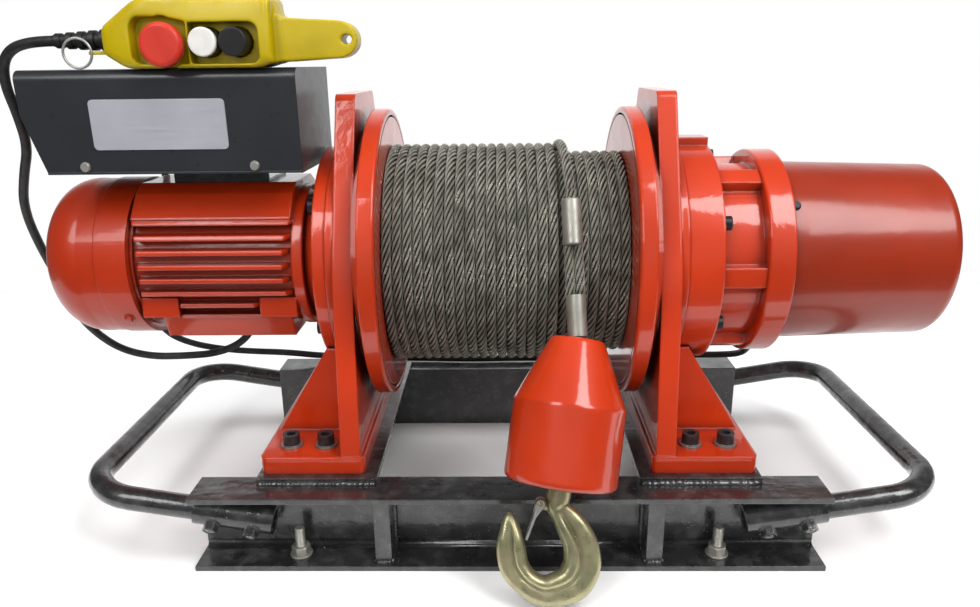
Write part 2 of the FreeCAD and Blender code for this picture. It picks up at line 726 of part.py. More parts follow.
def handle_socket():
    """The front socket of the right handle with its welded nuts."""
    outer_r = HANDLE_TUBE_R + SEAT + SOCKET_WALL
    start = V(HANDLE_INNER_X, -HANDLE_Y, HANDLE_INNER_Z)
    shape = Part.makeCylinder(outer_r, SOCKET_LENGTH, start, X_DIR)
    direction = set_screw_direction()
    for step in SET_SCREW_STEPS:
        base = start + X_DIR * step + direction * (outer_r - SOCKET_WALL / 2)
        shape = shape.fuse(hexagon(WELD_NUT_AF, WELD_NUT_H + SOCKET_WALL / 2, base, direction))
    shape = shape.cut(Part.makeCylinder(HANDLE_TUBE_R + SEAT, SOCKET_LENGTH, start, X_DIR))
    for step in SET_SCREW_STEPS:
        base = start + X_DIR * step
        shape = shape.cut(Part.makeCylinder(SET_SCREW_R + SEAT, 2 * outer_r, base, direction))
    return handle_frame(shape)


def handle_set_screws():
    """The two screws of the front socket, pressed on the tube."""
    start = V(HANDLE_INNER_X, -HANDLE_Y, HANDLE_INNER_Z)
    direction = set_screw_direction()
    screws = []
    for step in SET_SCREW_STEPS:
        base = start + X_DIR * step + direction * (HANDLE_TUBE_R + WELD_GAP)
        shank = Part.makeCylinder(SET_SCREW_R, SET_SCREW_LENGTH, base, direction)
        key_base = base + direction * (SET_SCREW_LENGTH - SET_SCREW_KEY_DEPTH)
        key = hexagon(SET_SCREW_KEY_AF, SET_SCREW_KEY_DEPTH + 1, key_base, direction)
        screws.append(handle_frame(shank.cut(key)))
    return screws


def bearing(x0, width, outer, inner):
    """A shielded ball bearing as one ring with sunk shields."""
    land = (outer - inner) / 4
    sink = width / 12
    return turned([
        (x0, inner), (x0, inner + land), (x0 + sink, inner + land), (x0 + sink, outer - land),
        (x0, outer - land), (x0, outer), (x0 + width, outer), (x0 + width, outer - land),
        (x0 + width - sink, outer - land), (x0 + width - sink, inner + land),
        (x0 + width, inner + land), (x0 + width, inner),
    ])


def drum_bearing():
    return bearing(BEARING_IN, BEARING_W, BEARING_R - SEAT, JOURNAL_R + RUNNING)


def shaft_bearings():
    """The bearings of the drive shaft: two in the motor and one in the gear housing."""
    outer = SHAFT_BEARING_R - SEAT
    return [
        bearing(FRAME_LEFT, SHAFT_BEARING_W, outer, SHAFT_R + RUNNING),
        bearing(SHIELD_IN - SHAFT_BEARING_W, SHAFT_BEARING_W, outer, SHAFT_R + RUNNING),
        bearing(END_WALL_IN, SHAFT_BEARING_W, outer, SHAFT_STEM_R + RUNNING),
    ]


def drum_flange():
    """The right drum flange with its hollow journal."""
    disc = on_axis(DRUM_HALF, FLANGE_OUT, DRUM_FLANGE_R)
    journal = on_axis(FLANGE_OUT, JOURNAL_END, JOURNAL_R)
    return disc.fuse(journal).cut(on_axis(DRUM_HALF - 1, JOURNAL_END + 1, JOURNAL_BORE_R))


def rope_winding():
    """The wound rope: three layers at the left and two at the right, one bulge per turn."""
    points = [V(ROPE_START, 0, AXIS_Z + BARREL_R + SEAT), V(ROPE_START, 0, AXIS_Z + TOP_LAYER_R)]
    edges = [Part.LineSegment(points[0], points[1]).toShape()]

    def turn_arc(start, radius):
        left = V(start, 0, AXIS_Z + radius)
        top = V(start + ROPE_PITCH / 2, 0, AXIS_Z + radius + ROPE_R)
        right = V(start + ROPE_PITCH, 0, AXIS_Z + radius)
        edges.append(Part.Arc(left, top, right).toShape())
        return right

    def line_to(end):
        edges.append(Part.LineSegment(last, end).toShape())
        return end

    for k in range(TOP_LAYER_TURNS):
        last = turn_arc(ROPE_START + k * ROPE_PITCH, TOP_LAYER_R)
    second_start = ROPE_START + (TOP_LAYER_TURNS + 0.5) * ROPE_PITCH
    last = line_to(V(second_start, 0, AXIS_Z + SECOND_LAYER_R))
    for k in range(TURNS_PER_LAYER - TOP_LAYER_TURNS - 1):
        last = turn_arc(second_start + k * ROPE_PITCH, SECOND_LAYER_R)
    last = line_to(V(-ROPE_START, 0, AXIS_Z + FIRST_LAYER_R))
    last = line_to(V(-ROPE_START, 0, AXIS_Z + BARREL_R + SEAT))
    last = line_to(points[0])
    return Part.Face(Part.Wire(edges)).revolve(V(0, 0, AXIS_Z), X_DIR, 360)


def line_placement():
    """Where the hook line lies: from the drum's rope forwards and down, a little to the right."""
    turn = math.radians(LINE_LEAN)
    origin = V(LINE_X, -LINE_R * math.cos(turn), AXIS_Z + LINE_R * math.sin(turn))
    forwards = FreeCAD.Rotation(X_DIR, -LINE_LEAN)
    sideways = FreeCAD.Rotation(Y_DIR, LINE_SIDE_LEAN)
    return FreeCAD.Placement(origin, forwards.multiply(sideways))


def weight_placement():
    """Where the weight and hook hang: turned to the left about the top of the weight."""
    top = V(0, 0, WEIGHT_TOP)
    turn = FreeCAD.Rotation(Y_DIR, WEIGHT_SIDE_LEAN - LINE_SIDE_LEAN)
    return line_placement().multiply(FreeCAD.Placement(V(0, 0, 0), turn, top))


def placed(shape, placement):
    """A copy of a shape, moved from a placement's own frame."""
    copy = shape.copy()
    copy.Placement = placement.multiply(copy.Placement)
    return copy


def line_cylinder(z0, z1, radius):
    return Part.makeCylinder(radius, z1 - z0, V(0, 0, z0), Z_DIR)


def rope_tail():
    """The last of the rope, from the edge of the top layer over to the upper ferrule."""
    end = line_placement().multVec(V(0, 0, PIVOT_UP + STUB_BALL_R + TAIL_GAP))
    end_r = math.hypot(end.y, end.z - AXIS_Z)
    end_angle = math.degrees(math.atan2(end.z - AXIS_Z, -end.y))
    start_x = ROPE_START + TOP_LAYER_TURNS * ROPE_PITCH + ROPE_R + LINE_GAP
    start_r = SECOND_LAYER_R + 2 * ROPE_R + LINE_GAP

    def station(share):
        turn = math.radians(TAIL_START_ANGLE + (end_angle - TAIL_START_ANGLE) * share)
        radius = start_r + (end_r - start_r) * share
        x = start_x + (end.x - start_x) * share
        return V(x, -radius * math.cos(turn), AXIS_Z + radius * math.sin(turn))

    path = Part.Wire(Part.Arc(station(0), station(0.5), station(1)).toShape())
    return swept(path, ROPE_R)


def rope_ferrules():
    """The two swaged sleeves on the rope's eye; the lower one stands on the leaning weight."""
    upper = line_cylinder(-FERRULE_DOWN, FERRULE_UP, FERRULE_R)
    upper = upper.makeFillet(FERRULE_R / 5, upper.Edges[0:3:2])
    rise = FERRULE_R * math.sin(math.radians(WEIGHT_SIDE_LEAN - LINE_SIDE_LEAN)) + SEAT
    lower = line_cylinder(WEIGHT_TOP + rise, LOOP_BOTTOM, FERRULE_R)
    return [placed(upper, line_placement()), placed(lower, line_placement())]


def eye_rope():
    """The two runs of rope between the ferrules, and the bare end above them that the line swings on."""
    run = line_cylinder(LOOP_BOTTOM, LOOP_TOP, LOOP_R)
    shapes = [run.translated(X_DIR * side) for side in (-LOOP_R - SEAT / 2, LOOP_R + SEAT / 2)]
    bare = line_cylinder(FERRULE_UP, PIVOT_UP, STUB_BALL_R)
    shapes.append(bare.fuse(Part.makeSphere(STUB_BALL_R, V(0, 0, PIVOT_UP))))
    return [placed(shape, line_placement()) for shape in shapes]


def hook_weight():
    """The red weight: a cone on a cylinder, bored for the hook's shank and swivel nut."""
    shape = lathe([
        (0, WEIGHT_TOP), (WEIGHT_TOP_R, WEIGHT_TOP), (WEIGHT_R, WEIGHT_SHOULDER),
        (WEIGHT_R, WEIGHT_BOTTOM), (0, WEIGHT_BOTTOM),
    ])
    rims = [(WEIGHT_TOP_R, WEIGHT_TOP_ROUND), (WEIGHT_R, WEIGHT_EDGE_ROUND)]
    for radius, rounding in rims:
        edges = [e for e in shape.Edges if isinstance(e.Curve, Part.Circle)]
        edges = [e for e in edges if abs(e.Curve.Radius - radius) < 0.01]
        shape = shape.makeFillet(rounding, edges)
    bore = line_cylinder(WEIGHT_BOTTOM - 1, SHANK_TOP, SHANK_R + SHANK_CLEARANCE)
    nut_bottom = SHANK_TOP - SWIVEL_NUT_H - SWIVEL_AXIAL_GAP
    chamber = line_cylinder(nut_bottom, SHANK_TOP + SWIVEL_AXIAL_GAP, SWIVEL_NUT_R + FREE)
    return placed(shape.cut(bore).cut(chamber), weight_placement())


def bowl_point(angle, radius):
    """A point round the hook's bowl, in the weight's own frame."""
    turn = math.radians(angle)
    centre_z = WEIGHT_BOTTOM - HOOK_BOWL_DROP
    return V(HOOK_BOWL_SHIFT + radius * math.cos(turn), 0, centre_z + radius * math.sin(turn))


def hook_section(centre, ahead, half_width, half_thickness):
    """An oval section of the hook, square to its centre line."""
    ahead = V(ahead).normalize()
    across = V(ahead.z, 0, -ahead.x) * half_width
    place = FreeCAD.Matrix(
        across.x, 0, ahead.x, centre.x,
        0, half_thickness, 0, centre.y,
        across.z, 0, ahead.z, centre.z,
        0, 0, 0, 1,
    )
    return Part.Wire(Part.makeCircle(1).transformGeometry(place).Edges)


def latch_pivot():
    return V(LATCH_PIVOT_X, 0, WEIGHT_BOTTOM - LATCH_PIVOT_DROP)


def hook():
    """The shank hook with its swivel nut, and the lug and pin of its latch."""
    shoulder = WEIGHT_BOTTOM - SWIVEL_AXIAL_GAP
    centres = [V(0, 0, shoulder), V(0, 0, WEIGHT_BOTTOM - HOOK_NECK_DROP)]
    sizes = [(radius, radius) for radius in HOOK_NECK_R]
    for angle, radius, half_width in HOOK_STATIONS:
        centres.append(bowl_point(angle, radius))
        sizes.append((half_width, min(HOOK_HALF_T, HOOK_FLATNESS * half_width)))
    sections = []
    last = len(centres) - 1
    for k, (half_width, half_thickness) in enumerate(sizes):
        ahead = -Z_DIR if k == 0 else centres[min(k + 1, last)] - centres[k - 1]
        sections.append(hook_section(centres[k], ahead, half_width, half_thickness))
    bowl = Part.makeLoft(sections, True, False)
    shank = line_cylinder(shoulder, SHANK_TOP, SHANK_R)
    nut = line_cylinder(SHANK_TOP - SWIVEL_NUT_H, SHANK_TOP, SWIVEL_NUT_R)
    pivot = latch_pivot()
    lug = Part.makeCylinder(LATCH_LUG_R, 2 * LATCH_LUG_HALF, pivot - Y_DIR * LATCH_LUG_HALF, Y_DIR)
    web = block((pivot.x, 0), (-LATCH_LUG_HALF, LATCH_LUG_HALF), (pivot.z - LATCH_LUG_R, pivot.z + LATCH_LUG_R))
    pin_half = LATCH_LUG_HALF + LATCH_CHEEK_GAP + LATCH_SHEET + LATCH_PIN_END
    pin = Part.makeCylinder(LATCH_PIN_R, 2 * pin_half, pivot - Y_DIR * pin_half, Y_DIR)
    return placed(united([bowl, shank, nut, lug, web, pin]), weight_placement())


def hook_latch():
    """The sheet latch: two cheeks on the pin and a web that rests inside the hook's tip."""
    pivot = latch_pivot()
    tip = V(LATCH_TIP_X, 0, WEIGHT_BOTTOM - LATCH_TIP_DROP)
    reach = (tip - pivot).Length
    along = (tip - pivot).normalize()
    outwards = V(along.z, 0, -along.x)
    cheek_in = LATCH_LUG_HALF + LATCH_CHEEK_GAP
    cheek_out = cheek_in + LATCH_SHEET
    web_start = cheek_in + LATCH_SHEET
    web = face_of([
        pivot + along * web_start - Y_DIR * cheek_out,
        pivot + along * reach - Y_DIR * LATCH_TIP_HALF,
        pivot + along * reach + Y_DIR * LATCH_TIP_HALF,
        pivot + along * web_start + Y_DIR * cheek_out,
    ]).extrude(outwards * LATCH_SHEET)
    parts = [web]
    for side in (-cheek_out, cheek_in):
        base = pivot + Y_DIR * side
        eye = Part.makeCylinder(LATCH_EYE_R, LATCH_SHEET, base, Y_DIR)
        arm = face_of([
            base + outwards * LATCH_EYE_R,
            base + along * (web_start + LATCH_EYE_R) + outwards * LATCH_SHEET,
            base + along * (web_start + LATCH_EYE_R),
            base - outwards * LATCH_EYE_R,
        ]).extrude(Y_DIR * LATCH_SHEET)
        parts.extend([eye, arm])
    shape = united(parts)
    hole_base = pivot - Y_DIR * (cheek_out + 1)
    hole = Part.makeCylinder(LATCH_PIN_R + RUNNING, 2 * cheek_out + 2, hole_base, Y_DIR)
    return placed(shape.cut(hole), weight_placement())


def fin_ends(shape, y_side, xs):
    """Slopes the ends of a fin down to the motor frame."""
    for x, toward in ((xs[0], 1), (xs[1], -1)):
        wedge = face_of([
            V(x, y_side * (FIN_R + 1), 0),
            V(x + toward * FIN_TAPER, y_side * (FIN_R + 1), 0),
            V(x, y_side * FRAME_BORE_R, 0),
        ]).extrude(V(0, 0, 2 * AXIS_Z))
        shape = shape.cut(wedge)
    return shape


def motor_frame():
    """The finned motor frame: a saddle for the control box, side fins, corner lugs and a flat belly."""
    fin_x = (FRAME_LEFT + REAR_COLLAR_LENGTH, FRAME_RIGHT - COLLAR_LENGTH)
    lug_x = ((fin_x[0], fin_x[0] + LUG_LENGTH), (fin_x[1] - LUG_LENGTH, fin_x[1]))
    shapes = [on_axis(FRAME_LEFT, FRAME_RIGHT, FRAME_R)]
    shapes.append(on_axis(FRAME_LEFT, fin_x[0], SHIELD_R))
    shapes.append(on_axis(fin_x[1], FRAME_RIGHT, SHIELD_R))
    envelope = on_axis(FRAME_LEFT, FRAME_RIGHT, FIN_R)
    for side in (-1, 1):
        ys = sorted((0, side * FIN_R))
        for k in range(FIN_COUNT):
            rise = FIN_TOP - k * FIN_PITCH
            xs = fin_x if rise > -LUG_Z[1] else (lug_x[0][1], lug_x[1][0])
            zs = (AXIS_Z + rise - FIN_T / 2, AXIS_Z + rise + FIN_T / 2)
            shapes.append(fin_ends(block(xs, ys, zs).common(envelope), side, xs))
    for xs in lug_x:
        shapes.append(block(xs, (-LUG_HALF_Y, LUG_HALF_Y), (AXIS_Z - LUG_Z[0], AXIS_Z - LUG_Z[1])))
    saddle = [
        (-SADDLE_HALF_Y[1], SADDLE_Z[1]), (-SADDLE_HALF_Y[0], SADDLE_Z[0]), (-TOP_PAD_HALF_Y, TOP_PAD_Z),
        (TOP_PAD_HALF_Y, TOP_PAD_Z), (SADDLE_HALF_Y[0], SADDLE_Z[0]), (SADDLE_HALF_Y[1], SADDLE_Z[1]),
    ]
    shapes.append(frame_bar(fin_x, saddle))
    belly_x = (FRAME_MID - BELLY_HALF_X, FRAME_MID + BELLY_HALF_X)
    shapes.append(frame_bar(belly_x, [
        (-BELLY_HALF_Y[1], -BELLY_Z[1]), (-BELLY_HALF_Y[0], -BELLY_Z[0]),
        (BELLY_HALF_Y[0], -BELLY_Z[0]), (BELLY_HALF_Y[1], -BELLY_Z[1]),
    ]))
    return united(shapes).cut(on_axis(FRAME_LEFT - 1, FRAME_RIGHT + 1, FRAME_BORE_R))


def frame_bar(xs, outline):
    """A bar along the motor frame from (y, z) corners measured from the drum axis."""
    return face_of([V(xs[0], y, AXIS_Z + z) for y, z in outline]).extrude(V(xs[1] - xs[0], 0, 0))


def motor_screws(hole_r=0.0):
    """Socket screws that hold the motor's flange to the left pillar, or their holes."""
    ring_r = MOTOR_FLANGE_R - MOTOR_SCREW_EDGE
    base = V(SHIELD_IN, -ring_r, AXIS_Z)
    if hole_r:
        tool = Part.makeCylinder(hole_r, MOTOR_FLANGE_T + 2, base - X_DIR, X_DIR)
    else:
        tool = cap_screw(base, -X_DIR, SCREW_R, MOTOR_FLANGE_T, SCREW_HEAD_R, SCREW_HEAD_H, SCREW_KEY_AF)
    return around(tool, MOTOR_SCREWS, 180.0 / MOTOR_SCREWS)


def motor_front_shield():
    """The flanged end shield that bolts the motor to the left pillar."""
    shape = turned([
        (FRAME_RIGHT, 0), (FRAME_RIGHT, SHIELD_NECK_R), (SHIELD_IN, SHIELD_R),
        (SHIELD_IN, MOTOR_FLANGE_R), (MOTOR_FACE, MOTOR_FLANGE_R), (MOTOR_FACE, 0),
    ])
    hollow = on_axis(FRAME_RIGHT - 1, SHIELD_IN, FRAME_BORE_R)
    shape = shape.cut(hollow)
    boss = on_axis(SHIELD_IN - SHAFT_BEARING_W, MOTOR_FACE, SHAFT_BEARING_R + RING_WALL)
    shape = shape.fuse(boss)
    seat = on_axis(SHIELD_IN - SHAFT_BEARING_W - 1, SHIELD_IN, SHAFT_BEARING_R)
    for hole in motor_screws(SCREW_R + SCREW_CLEARANCE):
        shape = shape.cut(hole)
    return shape.cut(seat).cut(on_axis(SHIELD_IN - 1, MOTOR_FACE + 1, SHAFT_R + FREE))


def motor_rear_shield():
    """The end shield under the fan cowl, with the rear bearing seat."""
    plate = on_axis(REAR_SHIELD_LEFT, FRAME_LEFT, COWL_R - COWL_SHEET - SEAT)
    boss = on_axis(FRAME_LEFT, FRAME_LEFT + SHAFT_BEARING_W, SHAFT_BEARING_R + RING_WALL)
    seat = on_axis(FRAME_LEFT, FRAME_LEFT + SHAFT_BEARING_W + 1, SHAFT_BEARING_R)
    bore = on_axis(REAR_SHIELD_LEFT - 1, FRAME_LEFT + 1, SHAFT_R + FREE)
    return plate.fuse(boss).cut(seat).cut(bore)


def cowl_skin(offset):
    """The domed solid of the fan cowl, drawn in by an offset."""
    right = FRAME_LEFT + (1 if offset else 0)
    nose = COWL_END + offset
    shoulder = COWL_END + COWL_SHOULDER
    inset = offset * math.sqrt(0.5)
    middle_x = COWL_END + COWL_SHOULDER * COWL_BEND_ALONG + inset
    middle_r = COWL_NOSE_R + (COWL_R - COWL_NOSE_R) * COWL_BEND_OUT - inset
    bend = Part.Arc(
        V(nose, 0, AXIS_Z + COWL_NOSE_R - offset),
        V(middle_x, 0, AXIS_Z + middle_r),
        V(shoulder, 0, AXIS_Z + COWL_R - offset),
    ).toShape()
    corners = [
        V(shoulder, 0, AXIS_Z + COWL_R - offset), V(right, 0, AXIS_Z + COWL_R - offset),
        V(right, 0, AXIS_Z), V(nose, 0, AXIS_Z), V(nose, 0, AXIS_Z + COWL_NOSE_R - offset),
    ]
    lines = [Part.LineSegment(a, b).toShape() for a, b in zip(corners, corners[1:])]
    return Part.Face(Part.Wire([bend] + lines)).revolve(V(0, 0, AXIS_Z), X_DIR, 360)


def fan_cowl():
    """The sheet cowl over the fan, with radial inlet slots in its end."""
    shape = cowl_skin(0).cut(cowl_skin(COWL_SHEET))
    slot = block(
        (COWL_END - 1, COWL_END + COWL_SHEET + 1),
        (GRILLE_INNER_R, GRILLE_OUTER_R),
        (AXIS_Z - GRILLE_SLOT_W / 2, AXIS_Z + GRILLE_SLOT_W / 2),
    )
    return shape.cut(Part.makeCompound(around(slot, GRILLE_SLOTS)))


def motor_stator():
    """The stator core with its end windings."""
    x0 = FRAME_MID - STATOR_LENGTH / 2
    x1 = FRAME_MID + STATOR_LENGTH / 2
    bore = ROTOR_R + AIR_GAP
    core = ring(x0, x1, FRAME_BORE_R - SEAT, bore)
    inner = bore + WINDING_GAP
    left = ring(x0 - WINDING_LENGTH, x0, inner + WINDING_WALL, inner)
    right = ring(x1, x1 + WINDING_LENGTH, inner + WINDING_WALL, inner)
    return united([core, left, right])


def motor_rotor():
    """The rotor core with its end rings."""
    x0 = FRAME_MID - STATOR_LENGTH / 2
    x1 = FRAME_MID + STATOR_LENGTH / 2
    core = on_axis(x0, x1, ROTOR_R)
    rings = on_axis(x0 - WINDING_LENGTH / 2, x1 + WINDING_LENGTH / 2, END_RING_R)
    bore = on_axis(x0 - WINDING_LENGTH, x1 + WINDING_LENGTH, SHAFT_R)
    return core.fuse(rings).cut(bore)


def motor_fan():
    """The radial fan on the tail of the shaft."""
    hub = on_axis(FAN_LEFT, FAN_RIGHT, FAN_HUB_R)
    disc = on_axis(FAN_RIGHT - FAN_BLADE_T, FAN_RIGHT, FAN_R)
    blade = block(
        (FAN_LEFT, FAN_RIGHT - FAN_BLADE_T),
        (FAN_HUB_R - 1, FAN_R),
        (AXIS_Z - FAN_BLADE_T / 2, AXIS_Z + FAN_BLADE_T / 2),
    ).common(on_axis(FAN_LEFT, FAN_RIGHT, FAN_R))
    return united([hub, disc] + around(blade, FAN_BLADES)).cut(on_axis(FAN_LEFT - 1, FAN_RIGHT + 1, SHAFT_R))


def drive_shaft():
    """The shaft from the fan through rotor, drum and gearbox to the brake, with its sun teeth."""
    body = on_axis(FAN_LEFT, PLATE_IN, SHAFT_R)
    stem = on_axis(PLATE_IN, COIL_OUT + SHAFT_END_GAP, SHAFT_STEM_R)
    sun = gear(SUN_TEETH, FIRST_IN, FIRST_OUT, SHAFT_STEM_R)
    return united([body, stem, sun])


def gear_outline(teeth, low_r, high_r, thinning, turn):
    """The outline of a gear on the drum axis plane, with involute flanks drawn as two chords."""
    pitch_r = MODULE * teeth / 2
    base_r = pitch_r * math.cos(PRESSURE_ANGLE)
    involute = math.tan(PRESSURE_ANGLE) - PRESSURE_ANGLE

    def half_width(radius):
        angle = math.acos(min(1.0, base_r / radius))
        return math.pi / (2 * teeth) + involute - (math.tan(angle) - angle) - thinning / pitch_r

    flank = [(r, half_width(r)) for r in (low_r, pitch_r, high_r)]
    points = []
    for k in range(teeth):
        middle = 2 * math.pi * k / teeth + turn
        for r, half in flank:
            points.append((r, middle - half))
        for r, half in reversed(flank):
            points.append((r, middle + half))
    return [V(0, r * math.cos(a), AXIS_Z + r * math.sin(a)) for r, a in points]


def gear(teeth, x0, x1, bore_r, turn=0.0):
    """An external gear on the drum axis between two stations."""
    pitch_r = MODULE * teeth / 2
    low_r = pitch_r - DEDENDUM * MODULE
    high_r = pitch_r + ADDENDUM * MODULE
    body = face_of(gear_outline(teeth, low_r, high_r, BACKLASH / 2, turn))
    body.translate(V(x0, 0, 0))
    return body.extrude(V(x1 - x0, 0, 0)).cut(on_axis(x0 - 1, x1 + 1, bore_r))


def ring_gear():
    """The long internal gear that both stages share."""
    x0 = SECOND_IN - GEAR_AXIAL_GAP
    x1 = END_WALL_IN
    low_r = RING_PITCH_R - ADDENDUM * MODULE
    high_r = RING_PITCH_R + DEDENDUM * MODULE
    half_pitch = math.pi / RING_TEETH
    hole = face_of(gear_outline(RING_TEETH, low_r, high_r, -BACKLASH / 2, half_pitch))
    hole.translate(V(x0 - 1, 0, 0))
    return on_axis(x0, x1, RING_R - SEAT).cut(hole.extrude(V(x1 - x0 + 2, 0, 0)))


def planets(x0, x1):
    """The planets of one stage, each with a tooth space towards the sun."""
    planet = gear(PLANET_TEETH, x0, x1, PIN_R + RUNNING, math.pi / PLANET_TEETH)
    planet.translate(V(0, GEAR_CENTRES, 0))
    return around(planet, PLANETS)


def carrier(plate_x0, plate_x1, pin_x1):
    """A carrier plate with its planet pins."""
    plate = on_axis(plate_x0, plate_x1, CARRIER_R)
    pin = Part.makeCylinder(PIN_R, pin_x1 - plate_x0, V(plate_x0, GEAR_CENTRES, AXIS_Z), X_DIR)
    return united([plate] + around(pin, PLANETS))


def output_carrier():
    """The slow carrier, flanged on the drum journal by its hub."""
    hub = on_axis(JOURNAL_END, OUTPUT_CARRIER_IN, CARRIER_HUB_R)
    shape = united([carrier(OUTPUT_CARRIER_IN, OUTPUT_CARRIER_OUT, SECOND_OUT), hub])
    return shape.cut(on_axis(JOURNAL_END - 1, SECOND_OUT, SHAFT_R + 2 * FREE))


def input_carrier():
    """The fast carrier with the second sun gear on its hub."""
    bore = SHAFT_STEM_R + FREE
    shape = carrier(INPUT_CARRIER_IN, INPUT_CARRIER_OUT, FIRST_OUT)
    shape = shape.cut(on_axis(INPUT_CARRIER_IN - 1, FIRST_OUT, bore))
    sun = gear(SUN_TEETH, SECOND_IN, INPUT_CARRIER_IN, bore)
    return united([shape, sun])


def gear_housing():
    """The ribbed gear housing, open to the pillar, with an end wall and a spigot for the cover."""
    shape = turned([
        (HOUSING_IN, 0), (HOUSING_IN, HOUSING_FLANGE_R), (BARREL_IN, HOUSING_FLANGE_R),
        (BARREL_IN, WINDOW_R), (RIM_IN, WINDOW_R), (RIM_IN, HOUSING_RIM_R),
        (HOUSING_OUT, HOUSING_RIM_R), (HOUSING_OUT, SPIGOT_R - SEAT),
        (HOUSING_OUT + SPIGOT_LENGTH, SPIGOT_R - SEAT), (HOUSING_OUT + SPIGOT_LENGTH, 0),
    ])
    rib = block(
        (BARREL_IN, RIM_IN),
        (-HOUSING_RIB_R, -RING_R),
        (AXIS_Z - HOUSING_RIB_W / 2, AXIS_Z + HOUSING_RIB_W / 2),
    ).common(on_axis(BARREL_IN, RIM_IN, HOUSING_RIB_R))
    lug = block(
        (HOUSING_IN, BARREL_IN), (-HOUSING_LUG_W / 2, HOUSING_LUG_W / 2), (AXIS_Z + WINDOW_R, AXIS_Z + HOUSING_LUG_R),
    )
    shape = united([shape, lug] + around(rib, HOUSING_RIBS, HOUSING_RIB_TURN))
    shape = shape.cut(on_axis(HOUSING_IN - 1, END_WALL_IN, RING_R))
    shape = shape.cut(on_axis(HOUSING_OUT, HOUSING_OUT + SPIGOT_LENGTH + 1, SPIGOT_R - SPIGOT_WALL))
    shape = shape.cut(on_axis(END_WALL_IN - 1, END_WALL_IN + SHAFT_BEARING_W, SHAFT_BEARING_R))
    shape = shape.cut(on_axis(END_WALL_IN, HOUSING_OUT + 1, SHAFT_STEM_R + FREE))
    for hole in housing_screws(SCREW_CLEARANCE):
        shape = shape.cut(hole)
    rims = [e for e in shape.Edges if is_ring_edge(e, RIM_IN, HOUSING_RIM_R)]
    return shape.makeFillet(HOUSING_WALL / 2, rims)


def housing_screws(grown=0.0):
    """Screws in the housing windows that hold the housing to the right pillar."""
    base = V(BARREL_IN, -HOUSING_SCREW_RING, AXIS_Z)
    shank = HOUSING_FLANGE_T
    if grown:
        tool = Part.makeCylinder(HOUSING_SCREW_R + grown, shank + 2, base - X_DIR * (shank + 1), X_DIR)
    else:
        tool = cap_screw(
            base, X_DIR, HOUSING_SCREW_R, shank, HOUSING_SCREW_HEAD_R, HOUSING_SCREW_HEAD_H,
            HOUSING_SCREW_KEY_AF,
        )
    return around(tool, HOUSING_RIBS, HOUSING_RIB_TURN + 180.0 / HOUSING_RIBS)


def cover_skin(offset):
    """The solid of the end cover, straight over the spigot and then drawn in a little, inside by an offset."""
    end = COVER_OUT - offset
    shape = turned([
        (HOUSING_OUT - offset, 0), (HOUSING_OUT - offset, COVER_R - offset),
        (HOUSING_OUT + COVER_STRAIGHT, COVER_R - offset), (end, COVER_END_R - offset), (end, 0),
    ])
    rim = [e for e in shape.Edges if is_ring_edge(e, end, COVER_END_R - offset)]
    return shape.makeFillet(COVER_EDGE_R - offset, rim)


def end_cover():
    """The sheet cover over the brake, pushed on the housing spigot."""
    shape = cover_skin(0).cut(cover_skin(COVER_SHEET))
    for hole in rim_screws(RIM_SCREW_R + SCREW_CLEARANCE):
        shape = shape.cut(hole)
    return shape


def rim_screws(hole_r=0.0):
    """Small radial screws round the rim of the end cover, or their holes."""
    x = HOUSING_OUT + SPIGOT_LENGTH / 2
    inwards = Y_DIR
    seat = V(x, -COVER_R, AXIS_Z)
    if hole_r:
        tool = Part.makeCylinder(hole_r, COVER_SHEET * 3, seat - inwards * COVER_SHEET, inwards)
    else:
        shank = Part.makeCylinder(RIM_SCREW_R, COVER_SHEET - SEAT, seat, inwards)
        head = Part.makeSphere(RIM_SCREW_HEAD_R, seat)
        room = Part.makeCylinder(RIM_SCREW_HEAD_R, RIM_SCREW_HEAD_H, seat, -inwards)
        saddle = on_axis(x - COVER_R, x + COVER_R, COVER_R)
        tool = united([head.common(room).cut(saddle), shank])
    return around(tool, RIM_SCREWS, RIM_SCREW_TURN)


def brake_disc():
    """The friction disc with its hub on the shaft."""
    disc = on_axis(BRAKE_DISC_IN, BRAKE_DISC_IN + BRAKE_DISC_T, STUD_RING - 2 * STUD_R)
    hub = on_axis(BRAKE_DISC_IN, COIL_IN + COIL_LENGTH / 2, BRAKE_HUB_R)
    return disc.fuse(hub).cut(on_axis(BRAKE_DISC_IN - 1, COIL_OUT, SHAFT_STEM_R))


def brake_armature():
    """The armature plate, guided on the studs."""
    plate = ring(ARMATURE_IN, ARMATURE_IN + ARMATURE_T, BRAKE_R, COIL_BORE_R)
    hole = Part.makeCylinder(STUD_R + SEAT, ARMATURE_T + 2, V(ARMATURE_IN - 1, STUD_RING, AXIS_Z), X_DIR)
    return plate.cut(Part.makeCompound(around(hole, PLANETS)))


def brake_coil():
    """The coil body of the brake."""
    body = ring(COIL_IN, COIL_OUT, BRAKE_R, COIL_BORE_R)
    hole = Part.makeCylinder(STUD_R + SEAT, COIL_LENGTH + 2, V(COIL_IN - 1, STUD_RING, AXIS_Z), X_DIR)
    return body.cut(Part.makeCompound(around(hole, PLANETS)))


def brake_studs():
    """Studs from the housing's end wall that carry the coil body, each with a nut."""
    length = COIL_OUT - HOUSING_OUT
    stud = Part.makeCylinder(STUD_R, length, V(HOUSING_OUT, STUD_RING, AXIS_Z), X_DIR)
    nut = hexagon(STUD_NUT_AF, STUD_NUT_H, V(COIL_OUT, STUD_RING, AXIS_Z), X_DIR)
    return around(stud.fuse(nut), PLANETS)


